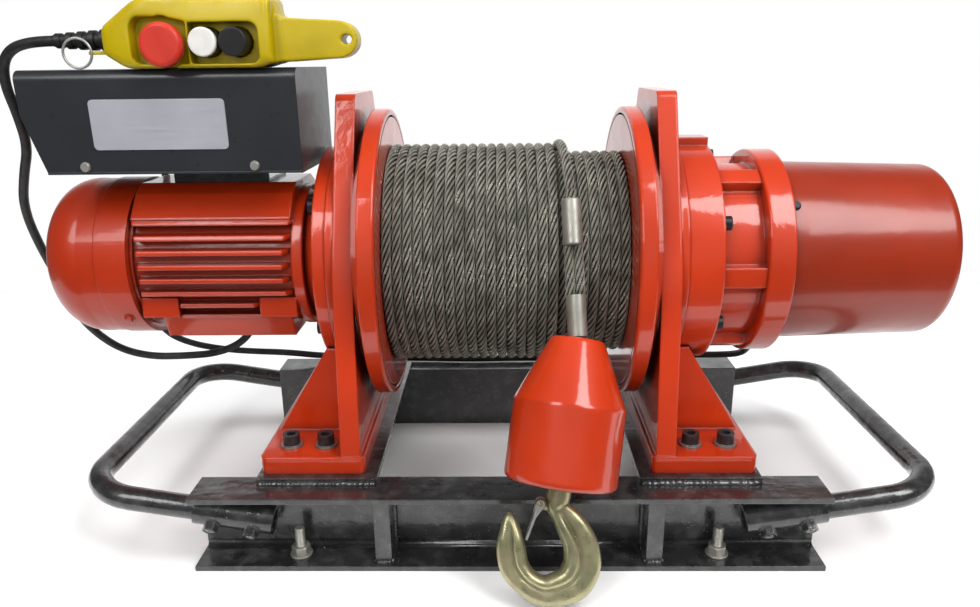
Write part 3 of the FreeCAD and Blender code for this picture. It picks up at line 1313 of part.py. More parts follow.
def box_bracket():
    """The bent sheet bracket that carries the control box on the motor."""
    xs = (FRAME_MID - BRACKET_HALF_X, FRAME_MID + BRACKET_HALF_X)
    ys = (-BRACKET_HALF_Y, BRACKET_HALF_Y)
    zs = (AXIS_Z + TOP_PAD_Z, BOX_Z[0] - TRAY_T)
    inside_y = (ys[0] + BRACKET_SHEET, ys[1] + 1)
    inside_z = (zs[0] + BRACKET_SHEET, zs[1] - BRACKET_SHEET)
    return block(xs, ys, zs).cut(block((xs[0] - 1, xs[1] + 1), inside_y, inside_z))


def box_screw_points():
    """Where the box screws enter, on the front face and on the rear face."""
    z = BOX_Z[0] + BOX_SCREW_RISE
    points = []
    for x in BOX_SCREW_X:
        points.append((V(x, BOX_Y[0], z), -Y_DIR))
        points.append((V(x, BOX_Y[1], z), Y_DIR))
    return points


def drilled(shape, radius, depth):
    """Drills the box screw holes through a sheet."""
    for point, outwards in box_screw_points():
        shape = shape.cut(Part.makeCylinder(radius, 2 * depth, point + outwards * depth, -outwards))
    return shape


def control_box_base():
    """The tray under the control box, turned up at front and rear."""
    gap = BOX_SHEET + WELD_GAP
    xs = (BOX_X[0] + BOX_CORNER[0] + gap, BOX_X[1] - gap)
    ys = (BOX_Y[0] + gap, BOX_Y[1] - gap)
    floor = block((BOX_X[0] + BOX_CORNER[0], BOX_X[1]), BOX_Y, (BOX_Z[0] - TRAY_T, BOX_Z[0]))
    front = block(xs, (ys[0], ys[0] + BOX_SHEET), (BOX_Z[0] - TRAY_T, BOX_Z[0] + TRAY_UPSTAND))
    rear = block(xs, (ys[1] - BOX_SHEET, ys[1]), (BOX_Z[0] - TRAY_T, BOX_Z[0] + TRAY_UPSTAND))
    return drilled(united([floor, front, rear]), BOX_SCREW_R + SEAT, 3 * BOX_SHEET)


def box_skin(offset):
    """The solid of the control box with its lower left corner cut off, inside by an offset."""
    cut_x, cut_z = BOX_CORNER
    slant = cut_x / cut_z
    left = BOX_X[0] + offset
    right = BOX_X[1] - offset
    low = BOX_Z[0] - offset
    high = BOX_Z[1] - offset
    shift = offset * math.hypot(1, slant)
    y = BOX_Y[0] + offset
    outline = [
        V(BOX_X[0] + shift + cut_x + offset * slant, y, low), V(right, y, low), V(right, y, high), V(left, y, high),
        V(left, y, BOX_Z[0] + cut_z + (shift - offset) / slant),
    ]
    return face_of(outline).extrude(V(0, BOX_Y[1] - BOX_Y[0] - 2 * offset, 0))


def control_box_cover():
    """The folded sheet cover of the control box, rounded along its top front edge."""
    outer = box_skin(0)
    inner = box_skin(BOX_SHEET)

    def top_front(shape, y, z):
        edges = [e for e in shape.Edges if abs(e.CenterOfMass.y - y) < 0.01]
        return [e for e in edges if abs(e.CenterOfMass.z - z) < 0.01]

    outer = outer.makeFillet(BOX_EDGE_R, top_front(outer, BOX_Y[0], BOX_Z[1]))
    inner_edges = top_front(inner, BOX_Y[0] + BOX_SHEET, BOX_Z[1] - BOX_SHEET)
    inner = inner.makeFillet(BOX_EDGE_R - BOX_SHEET, inner_edges)
    shape = drilled(outer.cut(inner), BOX_SCREW_R + SCREW_CLEARANCE, 2 * BOX_SHEET)
    for x in BOX_GLAND_X:
        base = V(x, BOX_Y[1] - 2 * BOX_SHEET, BOX_GLAND_Z)
        shape = shape.cut(Part.makeCylinder(PENDANT_R, 4 * BOX_SHEET, base, Y_DIR))
    return shape


def box_screws():
    """Pan head screws of the control box."""
    screws = []
    for point, outwards in box_screw_points():
        head = Part.makeSphere(BOX_SCREW_HEAD_R, point)
        room = Part.makeCylinder(BOX_SCREW_HEAD_R, BOX_SCREW_HEAD_H, point, outwards)
        shank = Part.makeCylinder(BOX_SCREW_R, 2 * BOX_SHEET, point, -outwards)
        screws.append(united([head.common(room), shank]))
    return screws


def name_plate():
    """The bare metal plate on the front of the control box."""
    y = BOX_Y[0] - NAME_PLATE_T
    corners = [
        V(PLATE_X[0], y, PLATE_Z[0]), V(PLATE_X[1], y, PLATE_Z[0]),
        V(PLATE_X[1], y, PLATE_Z[1]), V(PLATE_X[0], y, PLATE_Z[1]),
    ]
    wire = rounded_wire(corners, [NAME_PLATE_ROUND] * 4, True)
    return Part.Face(wire).extrude(V(0, NAME_PLATE_T, 0))


def contactors():
    """The up and down contactors on the floor of the control box."""
    length, depth, height = CONTACTOR_SIZE
    y = (BOX_Y[0] + BOX_Y[1]) / 2
    pieces = []
    for x in CONTACTOR_X:
        body_x = (x, x + length)
        low = block(body_x, (y - depth / 2, y + depth / 2), (BOX_Z[0], BOX_Z[0] + height / 2))
        high = block(body_x, (y - depth / 4, y + depth / 4), (BOX_Z[0], BOX_Z[0] + height))
        pieces.append(united([low, high]))
    return pieces


def gland(base, direction, cable_r):
    """A screwed cable gland: a flanged nut and a tapering neck, bored for its cable."""
    flange = hexagon(2 * BOX_GLAND_R, BOX_GLAND_LENGTH / 3, base, direction)
    neck_base = base + direction * (BOX_GLAND_LENGTH / 3)
    tip_r = cable_r + (BOX_GLAND_R - cable_r) / 2
    neck = Part.makeCone(BOX_GLAND_NECK_R, tip_r, BOX_GLAND_LENGTH * 2 / 3, neck_base, direction)
    return flange.fuse(neck)


def cover_gland_direction():
    """Out of the underside of the end cover, towards the rear."""
    turn = math.radians(COVER_GLAND_ANGLE)
    return V(0, math.sin(turn), -math.cos(turn))


def cable_glands():
    """The glands on the rear of the control box and under the end cover."""
    pieces = []
    for x, radius in zip(BOX_GLAND_X, (BRAKE_CABLE_R, PENDANT_R)):
        pieces.append(gland(V(x, BOX_Y[1], BOX_GLAND_Z), Y_DIR, radius))
    outwards = cover_gland_direction()
    base = V(COVER_GLAND_X, 0, AXIS_Z) + outwards * (COVER_R - COVER_SHEET / 2)
    pieces.append(gland(base, outwards, BRAKE_CABLE_R).cut(cover_skin(0)))
    return pieces


def handset_outline(y):
    """The outline of the handset seen from the front."""
    left, right = HANDSET_X
    tail_low, tail_high = HANDSET_TAIL_Z
    neck_low, neck_high = HANDSET_NECK_Z
    tail_round = (tail_high - tail_low) / 2 - 1
    bottom = HANDSET_BOTTOM_Z + SEAT
    points = [
        (left, neck_low, HANDSET_NECK_ROUND[0]), (HANDSET_CHIN_X, bottom, HANDSET_CHIN_ROUND),
        (HANDSET_HEEL_X[0], bottom, HANDSET_HEEL_ROUND[0]),
        (HANDSET_TAIL_X, tail_low, HANDSET_WAIST_ROUND[0]),
        (right, tail_low, tail_round), (right, tail_high, tail_round),
        (HANDSET_TAIL_X, tail_high, HANDSET_WAIST_ROUND[1]),
        (HANDSET_HEEL_X[1], HANDSET_TOP_Z, HANDSET_HEEL_ROUND[1]),
        (HANDSET_SHOULDER_X, HANDSET_TOP_Z, HANDSET_SHOULDER_ROUND),
        (left, neck_high, HANDSET_NECK_ROUND[1]),
    ]
    corners = [V(x, y, z) for x, z, r in points]
    return rounded_wire(corners, [r for x, z, r in points], True)


def handset_body():
    """The moulded handset: a thick body with a button pocket and a flat tail with a hole."""
    depth = HANDSET_Y[1] - HANDSET_Y[0]
    shape = Part.Face(handset_outline(HANDSET_Y[0])).extrude(V(0, depth, 0))
    thin_front = HANDSET_MID_Y - TAIL_THICKNESS / 2
    thin_rear = HANDSET_MID_Y + TAIL_THICKNESS / 2
    tail_x = (HANDSET_TAIL_X - TAIL_STEP, HANDSET_X[1] + 1)
    zs = (HANDSET_BOTTOM_Z - 1, HANDSET_TOP_Z + 1)
    shape = shape.cut(block(tail_x, (HANDSET_Y[0] - 1, thin_front), zs))
    shape = shape.cut(block(tail_x, (thin_rear, HANDSET_Y[1] + 1), zs))
    rims = []
    for edge in shape.Edges:
        flat = abs(edge.BoundBox.YMin - edge.BoundBox.YMax) < 0.01
        outer = min(abs(edge.BoundBox.YMin - y) for y in HANDSET_Y) < 0.01
        if flat and outer:
            rims.append(edge)
    shape = shape.makeFillet(HANDSET_EDGE_R, rims)
    pocket_y = HANDSET_Y[0] - 1
    pocket = [
        V(POCKET_X[0], pocket_y, POCKET_Z[0]), V(POCKET_X[1], pocket_y, POCKET_Z[0]),
        V(POCKET_X[1], pocket_y, POCKET_Z[1]), V(POCKET_X[0], pocket_y, POCKET_Z[1]),
    ]
    recess = Part.Face(rounded_wire(pocket, [POCKET_ROUND] * 4, True))
    recess = recess.extrude(V(0, POCKET_DEPTH + 1, 0))
    stop_front = V(STOP_X, pocket_y, STOP_Z)
    stop_room = Part.makeCylinder(STOP_CAP_R + FREE, POCKET_DEPTH + 1, stop_front, Y_DIR)
    rib_x = (DIVIDER_X - DIVIDER_T / 2, DIVIDER_X + DIVIDER_T / 2)
    rib = block(rib_x, (HANDSET_Y[0] + 1, POCKET_FLOOR_Y + 1), (POCKET_Z[0] - 1, POCKET_Z[1] + 1))
    shape = shape.cut(recess.cut(rib)).cut(stop_room)
    for x in BUTTON_X:
        base = V(x, POCKET_FLOOR_Y - 1, BUTTON_Z)
        bore_r = BUTTON_R + BUTTON_CLEARANCE
        shape = shape.cut(Part.makeCylinder(bore_r, BUTTON_BORE_DEPTH + 1, base, Y_DIR))
    stop_base = V(STOP_X, POCKET_FLOOR_Y - 1, STOP_Z)
    stop_bore = Part.makeCylinder(STOP_STEM_R + BUTTON_CLEARANCE, BUTTON_BORE_DEPTH + 1, stop_base, Y_DIR)
    hole_base = V(HANDSET_X[1] - TAIL_HOLE_R * 2, HANDSET_Y[0], sum(HANDSET_TAIL_Z) / 2)
    hole = Part.makeCylinder(TAIL_HOLE_R, depth, hole_base, Y_DIR)
    return united([shape.cut(stop_bore).cut(hole), handset_ear()])


def ear_hole_point():
    """The middle of the lug's hole, as high as a ring that stands on the control box."""
    z = HANDSET_BOTTOM_Z + SEAT + SPLIT_RING_R + SPLIT_RING_WIRE_R
    return V(HANDSET_X[0] - EAR_LENGTH + EAR_HALF, EAR_Y, z)


def handset_ear():
    """The lug at the cable end that carries the split ring."""
    point = ear_hole_point()
    xs = (HANDSET_X[0] - EAR_LENGTH, HANDSET_X[0] + HANDSET_EDGE_R)
    lug = block(xs, (point.y - EAR_HALF, point.y + EAR_HALF), (point.z - EAR_T / 2, point.z + EAR_T / 2))
    return lug.cut(Part.makeCylinder(EAR_HOLE_R, 2 * EAR_T, point - Z_DIR * EAR_T, Z_DIR))


def split_ring():
    """The wire ring that stands on the control box, hooked in the lug."""
    point = ear_hole_point()
    wire_x = point.x - EAR_HOLE_R + SPLIT_RING_WIRE_R + WELD_GAP
    centre = V(wire_x - SPLIT_RING_R, point.y, point.z)
    return Part.makeTorus(SPLIT_RING_R, SPLIT_RING_WIRE_R, centre, Y_DIR)


def handset_gland():
    """The ribbed, tapering cable boot of the handset."""
    length = GLAND_LENGTH
    base = V(HANDSET_X[0], PENDANT_ROUTE[0][1], PENDANT_ROUTE[0][2])
    core = Part.makeCone(GLAND_CORE_R[0], GLAND_CORE_R[1], length, base, -X_DIR)
    shapes = [core]
    for k in range(GLAND_RIBS):
        share = (k + 0.5) / GLAND_RIBS
        radius = GLAND_ROOT_R + (GLAND_TIP_R - GLAND_ROOT_R) * share
        width = length / GLAND_RIBS / 2
        shapes.append(Part.makeCylinder(radius, width, base - X_DIR * (length * share + width / 2), X_DIR))
    return united(shapes)


def stop_button():
    """The red mushroom button on its stem."""
    cap_base = V(STOP_X, POCKET_FLOOR_Y - STOP_RISE, STOP_Z)
    cap = Part.makeCylinder(STOP_CAP_R, STOP_CAP_T, cap_base, -Y_DIR)
    cap = cap.makeFillet(STOP_CAP_T / 3, [e for e in cap.Edges if isinstance(e.Curve, Part.Circle)])
    stem_end = V(STOP_X, POCKET_FLOOR_Y + BUTTON_BORE_DEPTH - STOP_TRAVEL - FREE, STOP_Z)
    stem = Part.makeCylinder(STOP_STEM_R, stem_end.y - cap_base.y, cap_base, Y_DIR)
    return cap.fuse(stem)


def push_button(x):
    """A round push button in its bore."""
    front = HANDSET_Y[0] - BUTTON_RISE
    rear = POCKET_FLOOR_Y + BUTTON_BORE_DEPTH - BUTTON_TRAVEL - FREE
    shape = Part.makeCylinder(BUTTON_R, rear - front, V(x, front, BUTTON_Z), Y_DIR)
    face = [e for e in shape.Edges if abs(e.CenterOfMass.y - front) < 0.01]
    return shape.makeFillet(BUTTON_R / 8, face)


def cable(name, route, radius):
    """A round cable along its route, with each bend as wide as its runs allow."""
    points = [V(*p) for p in route]
    radii = [0.0] * len(points)
    for i in range(1, len(points) - 1):
        back = points[i] - points[i - 1]
        ahead = points[i + 1] - points[i]
        turn = back.getAngle(ahead)
        radii[i] = BEND_SHARE * min(back.Length, ahead.Length) / math.tan(turn / 2)
    path = rounded_wire(points, radii, False)
    solid = swept(path, radius)
    expected = math.pi * radius ** 2 * path.Length
    print(name, "length", round(path.Length), "tightest bend", round(min(radii[1:-1])),
          "volume share", round(solid.Volume / expected, 3))
    return solid


def all_nodes():
    """Every node's solids by name."""
    both_rails = [rail(), mirrored_y(rail())]
    right_pillar = pillar()
    right_flange = drum_flange()
    right_screws = foot_screws()
    socket = handle_socket()
    sockets = [socket, mirrored_y(socket)]
    set_screws = handle_set_screws()
    set_screws = set_screws + [mirrored_y(s) for s in set_screws]
    right_handle = handle()
    right_bearing = drum_bearing()
    plate = cross_plate()
    nodes = {
        "front_rail": [both_rails[0]],
        "rear_rail": [both_rails[1]],
        "cross_plates": [plate, mirrored_x(plate)],
        "left_pillar": [mirrored_x(right_pillar)],
        "right_pillar": [right_pillar],
        "foot_screws": right_screws + [mirrored_x(s) for s in right_screws],
        "left_handle": [mirrored_x(right_handle)],
        "right_handle": [right_handle],
        "handle_sockets": sockets + [mirrored_x(s) for s in sockets],
        "handle_set_screws": set_screws + [mirrored_x(s) for s in set_screws],
        "bearings": [right_bearing, mirrored_x(right_bearing)] + shaft_bearings(),
        "motor_frame": [motor_frame()],
        "motor_front_shield": [motor_front_shield()],
        "motor_screws": motor_screws(),
        "motor_rear_shield": [motor_rear_shield()],
        "motor_stator": [motor_stator()],
        "fan_cowl": [fan_cowl()],
        "gear_housing": [gear_housing()],
        "ring_gear": [ring_gear()],
        "housing_screws": housing_screws() + rim_screws(),
        "end_cover": [end_cover()],
        "brake_armature": [brake_armature()],
        "brake_coil": [brake_coil()],
        "brake_studs": brake_studs(),
        "box_bracket": [box_bracket()],
        "control_box_base": [control_box_base()],
        "control_box_cover": [control_box_cover()],
        "panel_screws": box_screws(),
        "name_plate": [name_plate()],
        "contactors": contactors(),
        "cable_glands": cable_glands(),
        "handset_body": [handset_body()],
        "handset_gland": [handset_gland()],
        "split_ring": [split_ring()],
        "pendant_cable": [cable("pendant_cable", PENDANT_ROUTE, PENDANT_R)],
        "brake_cable": [cable("brake_cable", BRAKE_ROUTE, BRAKE_CABLE_R)],
        "rope_tail": [rope_tail()],
        "drum_barrel": [ring(-DRUM_HALF, DRUM_HALF, BARREL_R, BARREL_R - BARREL_WALL)],
        "drum_flanges": [right_flange, mirrored_x(right_flange)],
        "rope_winding": [rope_winding()],
        "output_carrier": [output_carrier()],
        "drive_shaft": [drive_shaft()],
        "motor_rotor": [motor_rotor()],
        "motor_fan": [motor_fan()],
        "brake_disc": [brake_disc()],
        "input_carrier": [input_carrier()],
        "rope_ferrules": rope_ferrules(),
        "eye_rope": eye_rope(),
        "hook_weight": [hook_weight()],
        "hook": [hook()],
        "hook_latch": [hook_latch()],
        "stop_button": [stop_button()],
        "white_button": [push_button(BUTTON_X[0])],
        "black_button": [push_button(BUTTON_X[1])],
    }
    for k, planet in enumerate(planets(FIRST_IN, FIRST_OUT)):
        nodes["fast_planet_%d" % (k + 1)] = [planet]
    for k, planet in enumerate(planets(SECOND_IN, SECOND_OUT)):
        nodes["slow_planet_%d" % (k + 1)] = [planet]
    return nodes


os.makedirs("parts", exist_ok=True)
for node, solids in all_nodes().items():
    shape = solids[0] if len(solids) == 1 else Part.makeCompound(solids)
    shape.exportStep("parts/%s.step" % node)
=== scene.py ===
"""Electric winch: finishes, wire rope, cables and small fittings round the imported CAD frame."""
import json
import math
import random

import bpy
import numpy as np
from mathutils import Matrix, Vector


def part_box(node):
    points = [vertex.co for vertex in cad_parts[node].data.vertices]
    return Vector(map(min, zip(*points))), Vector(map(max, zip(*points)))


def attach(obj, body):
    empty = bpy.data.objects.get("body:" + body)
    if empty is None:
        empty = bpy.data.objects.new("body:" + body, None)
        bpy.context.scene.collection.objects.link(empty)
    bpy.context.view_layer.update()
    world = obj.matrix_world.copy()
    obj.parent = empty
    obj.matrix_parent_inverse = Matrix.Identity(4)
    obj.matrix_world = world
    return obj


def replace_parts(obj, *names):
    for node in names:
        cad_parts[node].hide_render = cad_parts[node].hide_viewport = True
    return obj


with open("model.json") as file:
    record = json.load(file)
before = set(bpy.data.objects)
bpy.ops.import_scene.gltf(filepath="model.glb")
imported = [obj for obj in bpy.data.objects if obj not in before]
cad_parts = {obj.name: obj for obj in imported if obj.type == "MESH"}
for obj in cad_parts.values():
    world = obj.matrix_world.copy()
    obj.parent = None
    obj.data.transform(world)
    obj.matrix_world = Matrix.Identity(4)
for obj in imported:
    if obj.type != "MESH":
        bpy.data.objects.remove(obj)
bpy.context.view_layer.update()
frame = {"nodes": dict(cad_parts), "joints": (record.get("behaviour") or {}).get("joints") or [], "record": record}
NODES = frame["nodes"]
JOINTS = {joint["name"]: joint for joint in frame["joints"]}
SLOTS = {part["node"]: part["material_slot"] for part in frame["record"]["subparts"]}
ROOT = "winch"
MM = 0.001

# Wire rope, in metres, with the tail's places round the drum in degrees from its front
ROPE_R = 0.00465
ROPE_STRANDS = 6
ROPE_LAY = 0.053
TURNS_PER_LAYER = 24
TOP_LAYER_TURNS = 17
SECTION_POINTS = 24
SECTIONS_PER_LAY = 17
FEWEST_SECTIONS = 8
ROPE_SEED = 4
TAIL_START_ANGLE = 150.0
TAIL_CLEAR_ANGLE = 105.0
TAIL_RISE = 0.00035
TAIL_SECTIONS = 90
EYE_TOP_DROP = 0.050
EYE_LENGTH = 0.044
EYE_HALF = 0.0044
STUB_RISE = 0.001
STUB_LENGTH = 0.009

# The rope's section in shares of its radius: ring of the strands' centres, square of a strand's own radius,
# valley between two strands, and how far the sleeve lies below the centre of the turns
STRAND_RING = 2 / 3
STRAND_R_SQUARED = 1 / 9
VALLEY_R = 0.577
SLEEVE_SINK = 0.3
SLEEVE_SIDES = 96
WIRES_PER_STRAND = 7
WIRE_SLANT = 0.5

# Cable routes, the CAD model's points, in millimetres
PENDANT_DIAMETER = 0.009
PENDANT_ROUTE = [
    (-392, -72, 468), (-418, -72, 468), (-441, -68.5, 457), (-452, -58, 434), (-455, -42, 404),
    (-461, -26, 373), (-480, -10, 345), (-500, 10, 308), (-507, 38, 258), (-503, 62, 205),
    (-500, 76, 164), (-482, 106, 118), (-450, 124, 98), (-404, 128, 97), (-362, 127, 101),
    (-326, 122, 118), (-304, 121, 150), (-296, 124, 190), (-294, 130, 236), (-296, 136, 286),
    (-298, 138, 331), (-299, 121.4, 361), (-300, 92, 378), (-300, 58, 378),
]
BRAKE_CABLE_DIAMETER = 0.008
BRAKE_ROUTE = [
    (-390, 58, 378), (-390, 88, 378), (-393, 116, 364), (-399, 132, 332), (-410, 136, 288),
    (-425, 135, 244), (-438, 132, 200), (-442, 134, 158), (-433, 142, 124), (-406, 151, 105), (-366, 156, 95),
    (-326, 158, 91), (-284, 157, 90), (-238, 159, 84), (-178, 161, 81), (-112, 160, 80),
    (-46, 156, 80), (22, 159, 80), (88, 157, 80), (150, 160, 80), (206, 158, 83),
    (244, 152, 86), (274, 136, 92), (287, 110, 104), (287, 86, 122), (285, 68.5, 141.4), (285, 55.6, 163.7),
]
CABLE_ROUNDNESS = 6
CABLE_STEPS = 12

# Anchor bolts that stand in the rails, in metres
ANCHOR_X = 0.195
ANCHOR_Y = 0.152
RAIL_WALL = 0.005
ANCHOR_STUD_R = 0.0048
ANCHOR_STUD_SINK = 0.004
ANCHOR_STUD_RISE = 0.017
ANCHOR_TIP_H = 0.0006
ANCHOR_NUT_R = 0.0088
ANCHOR_NUT_H = 0.008
ANCHOR_NUT_EDGE = 0.0008
ANCHOR_WASHER_R = 0.0105
ANCHOR_WASHER_T = 0.002
ANCHOR_WASHER_EDGE = 0.0003
THREAD_PITCH = 0.0015
STUD_SIDES = 24
NUT_SIDES = 36
NUT_HEXED_ROWS = (1, 2)
# In shares of the stud's radius and the nut's
THREAD_ROOT = 0.86
STUD_TIP = 0.8
NUT_FACE = 0.86

# Inner edge of the cross plates and the stiffeners in the front rail, in metres
CROSS_INNER = 0.121
STIFFENER_X = (-0.115, 0.134)
STIFFENER_HALF = 0.0075
STIFFENER_SETBACK = 0.006

# Weld beads: radii in metres, then their run and unevenness in shares of the radius
CROSS_WELD_R = 0.0044
STIFFENER_WELD_R = 0.0030
TOE_WELD_R = (0.0032, 0.0026)
WELD_SIDES = 12
WELD_STEP = 0.35
WELD_SWAY = 0.3
WELD_SWAY_KEPT = 0.7
WELD_SWAY_SHARE = 0.22
WELD_MEAN = 0.84
WELD_RIPPLE = 0.20
WELD_RIPPLE_TURN = 0.9
WELD_ROUGH = (0.90, 1.10)
WELD_END = 0.35
WELD_TAPER = 5.0
WELD_TAPER_RUN = 6

# Rolled fillets of the rails, in metres
ROOT_R = 0.006
ROOT_STEPS = 8
ROOT_INSET = 0.0005

# Skirt of the fan cowl, in metres, and its screw: from the edge, and below the level of the axis in degrees
SKIRT_LENGTH = 0.031
SKIRT_T = 0.0007
SKIRT_OVERLAP = 0.0004
SKIRT_EDGE = (0.0002, 0.0004)
SKIRT_SIDES = 128
COWL_SCREW_INSET = 0.013
COWL_SCREW_FALL = 38.0
COWL_SCREW_SINK = 0.001
# The screw's radii and heights, and the rows of its six-sided head
COWL_SCREW = ((0.0058, 0), (0.0058, 0.0020), (0.0042, 0.0021), (0.0042, 0.0046), (0.0036, 0.0053))
COWL_SCREW_HEXED_ROWS = (2, 3)
COWL_SCREW_SIDES = 36

# Top of the washers under the foot screws, and thickness of the white button's cap, in metres
WASHER_TOP = 0.1002
WHITE_CAP_T = 0.004

# Hook, the CAD model's sizes, in millimetres
HOOK_NECK_DROP = 17.0
HOOK_BOWL_DROP = 61.5
HOOK_BOWL_SHIFT = -5.0
HOOK_HALF_T = 9.5
HOOK_FLATNESS = 0.9
# Shank: height, radius, share of the forged step
HOOK_SHANK = ((4, 9.8, 0), (-0.4, 11.0, 0), (-9, 10.8, 0), (-HOOK_NECK_DROP, 10.4, 0.1))
# Bowl: angle round it, radius of the centre line, half width
HOOK_STATIONS = (
    (78.0, 40.5, 9.9), (59.0, 34.5, 12.9), (32.5, 31.9, 14.7), (6.5, 31.9, 16.0), (-16.5, 32.1, 16.4),
    (-41.5, 31.0, 15.8), (-81.5, 28.7, 13.0), (-117.5, 26.5, 11.7), (-151.5, 27.1, 12.7),
    (-181.5, 28.9, 12.7), (-200.5, 32.7, 11.2), (-212.0, 38.4, 8.3), (-219.5, 44.4, 5.2), (-222.0, 47.4, 2.0),
)
# Half of the forged section from its inner to its outer edge, in shares of half width and half thickness
HOOK_PROFILE = (
    (1.00, 0.00), (0.985, 0.25), (0.93, 0.52), (0.83, 0.76), (0.69, 0.92), (0.53, 1.00), (0.38, 0.98),
    (0.26, 0.89), (0.18, 0.76), (0.13, 0.63), (0.07, 0.58), (0.00, 0.62), (-0.12, 0.68), (-0.34, 0.71),
    (-0.56, 0.70), (-0.76, 0.63), (-0.89, 0.49), (-0.97, 0.27), (-1.00, 0.00),
)
# The forged step fades where the hook is slim, and it is half as strong above the neck's angle
STEP_SLIM = 4.0
STEP_FADE = 6.0
NECK_ANGLE = 70
NECK_STEP = 0.5
ROWS_PER_STATION = 7
LATCH_PIVOT = (-14.4, -18.2)
LUG_R = 4.5
LUG_HALF = 6.0
LUG_ROOT_X = -3.0
LUG_STEPS = 13
PIN_R = 2.0
PIN_HALF = 9.0
PIN_EDGE = 0.0004

# Handset, the CAD model's places, and its moulded form, in millimetres
HANDSET_X = (-341.5, -126.0)
HANDSET_Y = (-100.0, -44.0)
HANDSET_FOOT_Z = 444.0
HANDSET_HEIGHT = 59.0
POCKET_X = (-314.0, -206.0)
POCKET_TOP = 39.0
POCKET_MARGIN = 2.0
POCKET_BACK = 4.0
BELLY = 6.0
BELLY_RISE = 22.0
NOSE_X = -300.0
SHOULDER = 8.0
SHOULDER_SPREAD = 1.6
SHOULDER_END_X = -262.0
TAIL_X = -200.0
TAIL_BLEND = 14.0
TAIL_RISE_MID = 22.3
TAIL_HEIGHTS = (1.10, 0.86)
TAIL_DEPTHS = (1.25, 0.80)
VOXEL = 1.0
SOFT_ROUNDS = 12
SOFT_SHARE = 0.5
# Rooms of the buttons: middle, rise and radius, and from where to where in depth
BUTTON_ROOMS = (
    (-285.0, 19.0, 18.0, -101.0, -85.0), (-285.0, 19.0, 10.0, -83.0, -64.0),
    (-252.5, 21.0, 11.8, -83.0, -64.0), (-227.0, 21.0, 11.8, -83.0, -64.0),
)
BORE_BOTTOM_Y = -70.0
ROOM_GAP = 0.9
ROOM_REACH = 1.6

# Photograph's camera, in metres and degrees
CAMERA_AT = (-0.0028, -0.7702, 0.4454)
CAMERA_PITCH = 17.41
CAMERA_YAW = -1.07
CAMERA_ROLL = -0.67
CAMERA_FOCAL_PX = 766.4
PHOTO_WIDTH_PX = 980
SENSOR_WIDTH = 36.0

# Stage: corners of the floor in metres, light of the room and of the wall behind it,
# and the backward part of the directions between which the room turns into the wall
FLOOR_FROM = (-1.2, -0.32)
FLOOR_TO = (1.2, 0.75)
FLOOR_TONE = 0.93
FLOOR_ROUGHNESS = 0.8
ROOM_LIGHT = 0.12
WALL_LIGHT = 0.7
WALL_FROM = 0.55
WALL_FULL = 0.98
# Lamps: place, aim, width and height in metres, power in watts, and whether they show in gloss
MIDDLE = (0.0, 0.0, 0.24)
LAMPS = {
    "right": ((1.15, -1.15, 1.85), MIDDLE, 0.9, 1.4, 36.0, True),
    "left": ((-1.05, -1.65, 1.80), MIDDLE, 0.8, 1.2, 22.0, True),
    "front": ((0.0, -2.0, 0.75), MIDDLE, 2.4, 1.0, 24.0, False),
    "top": ((0.0, 0.25, 2.3), (0.0, 0.25, 0.0), 3.0, 2.2, 58.0, False),
}

# The hook line's own directions and the drum axis
AXIS_Z = JOINTS["drum_spin"]["pos_m"][2]
LINE_PIVOT = Vector(JOINTS["line_swing"]["pos_m"])
LINE_SIDE_LEAN = math.radians(-2.0)
PIN_DIR = -Vector(JOINTS["latch_hinge"]["axis"]).normalized()
LINE_UP = Matrix.Rotation(LINE_SIDE_LEAN, 3, PIN_DIR) @ Vector((1, 0, 0)).cross(PIN_DIR)
SIDE_DIR = PIN_DIR.cross(LINE_UP)
WEIGHT_FOOT = Vector(JOINTS["hook_swivel"]["pos_m"])
WEIGHT_UP = Vector(JOINTS["hook_swivel"]["axis"]).normalized()
WEIGHT_SIDE = PIN_DIR.cross(WEIGHT_UP)

# Range that most values of a noise lie in, and tones of a finish in shares of its base colour
NOISE_MIDDLE = (0.3, 0.7)
DEEP_TONE = 0.72
# The painted shade in the plastics' corners, as a share of their colour
CORNER_SHADE_TONE = 0.35
PALE_TONE = 2.2


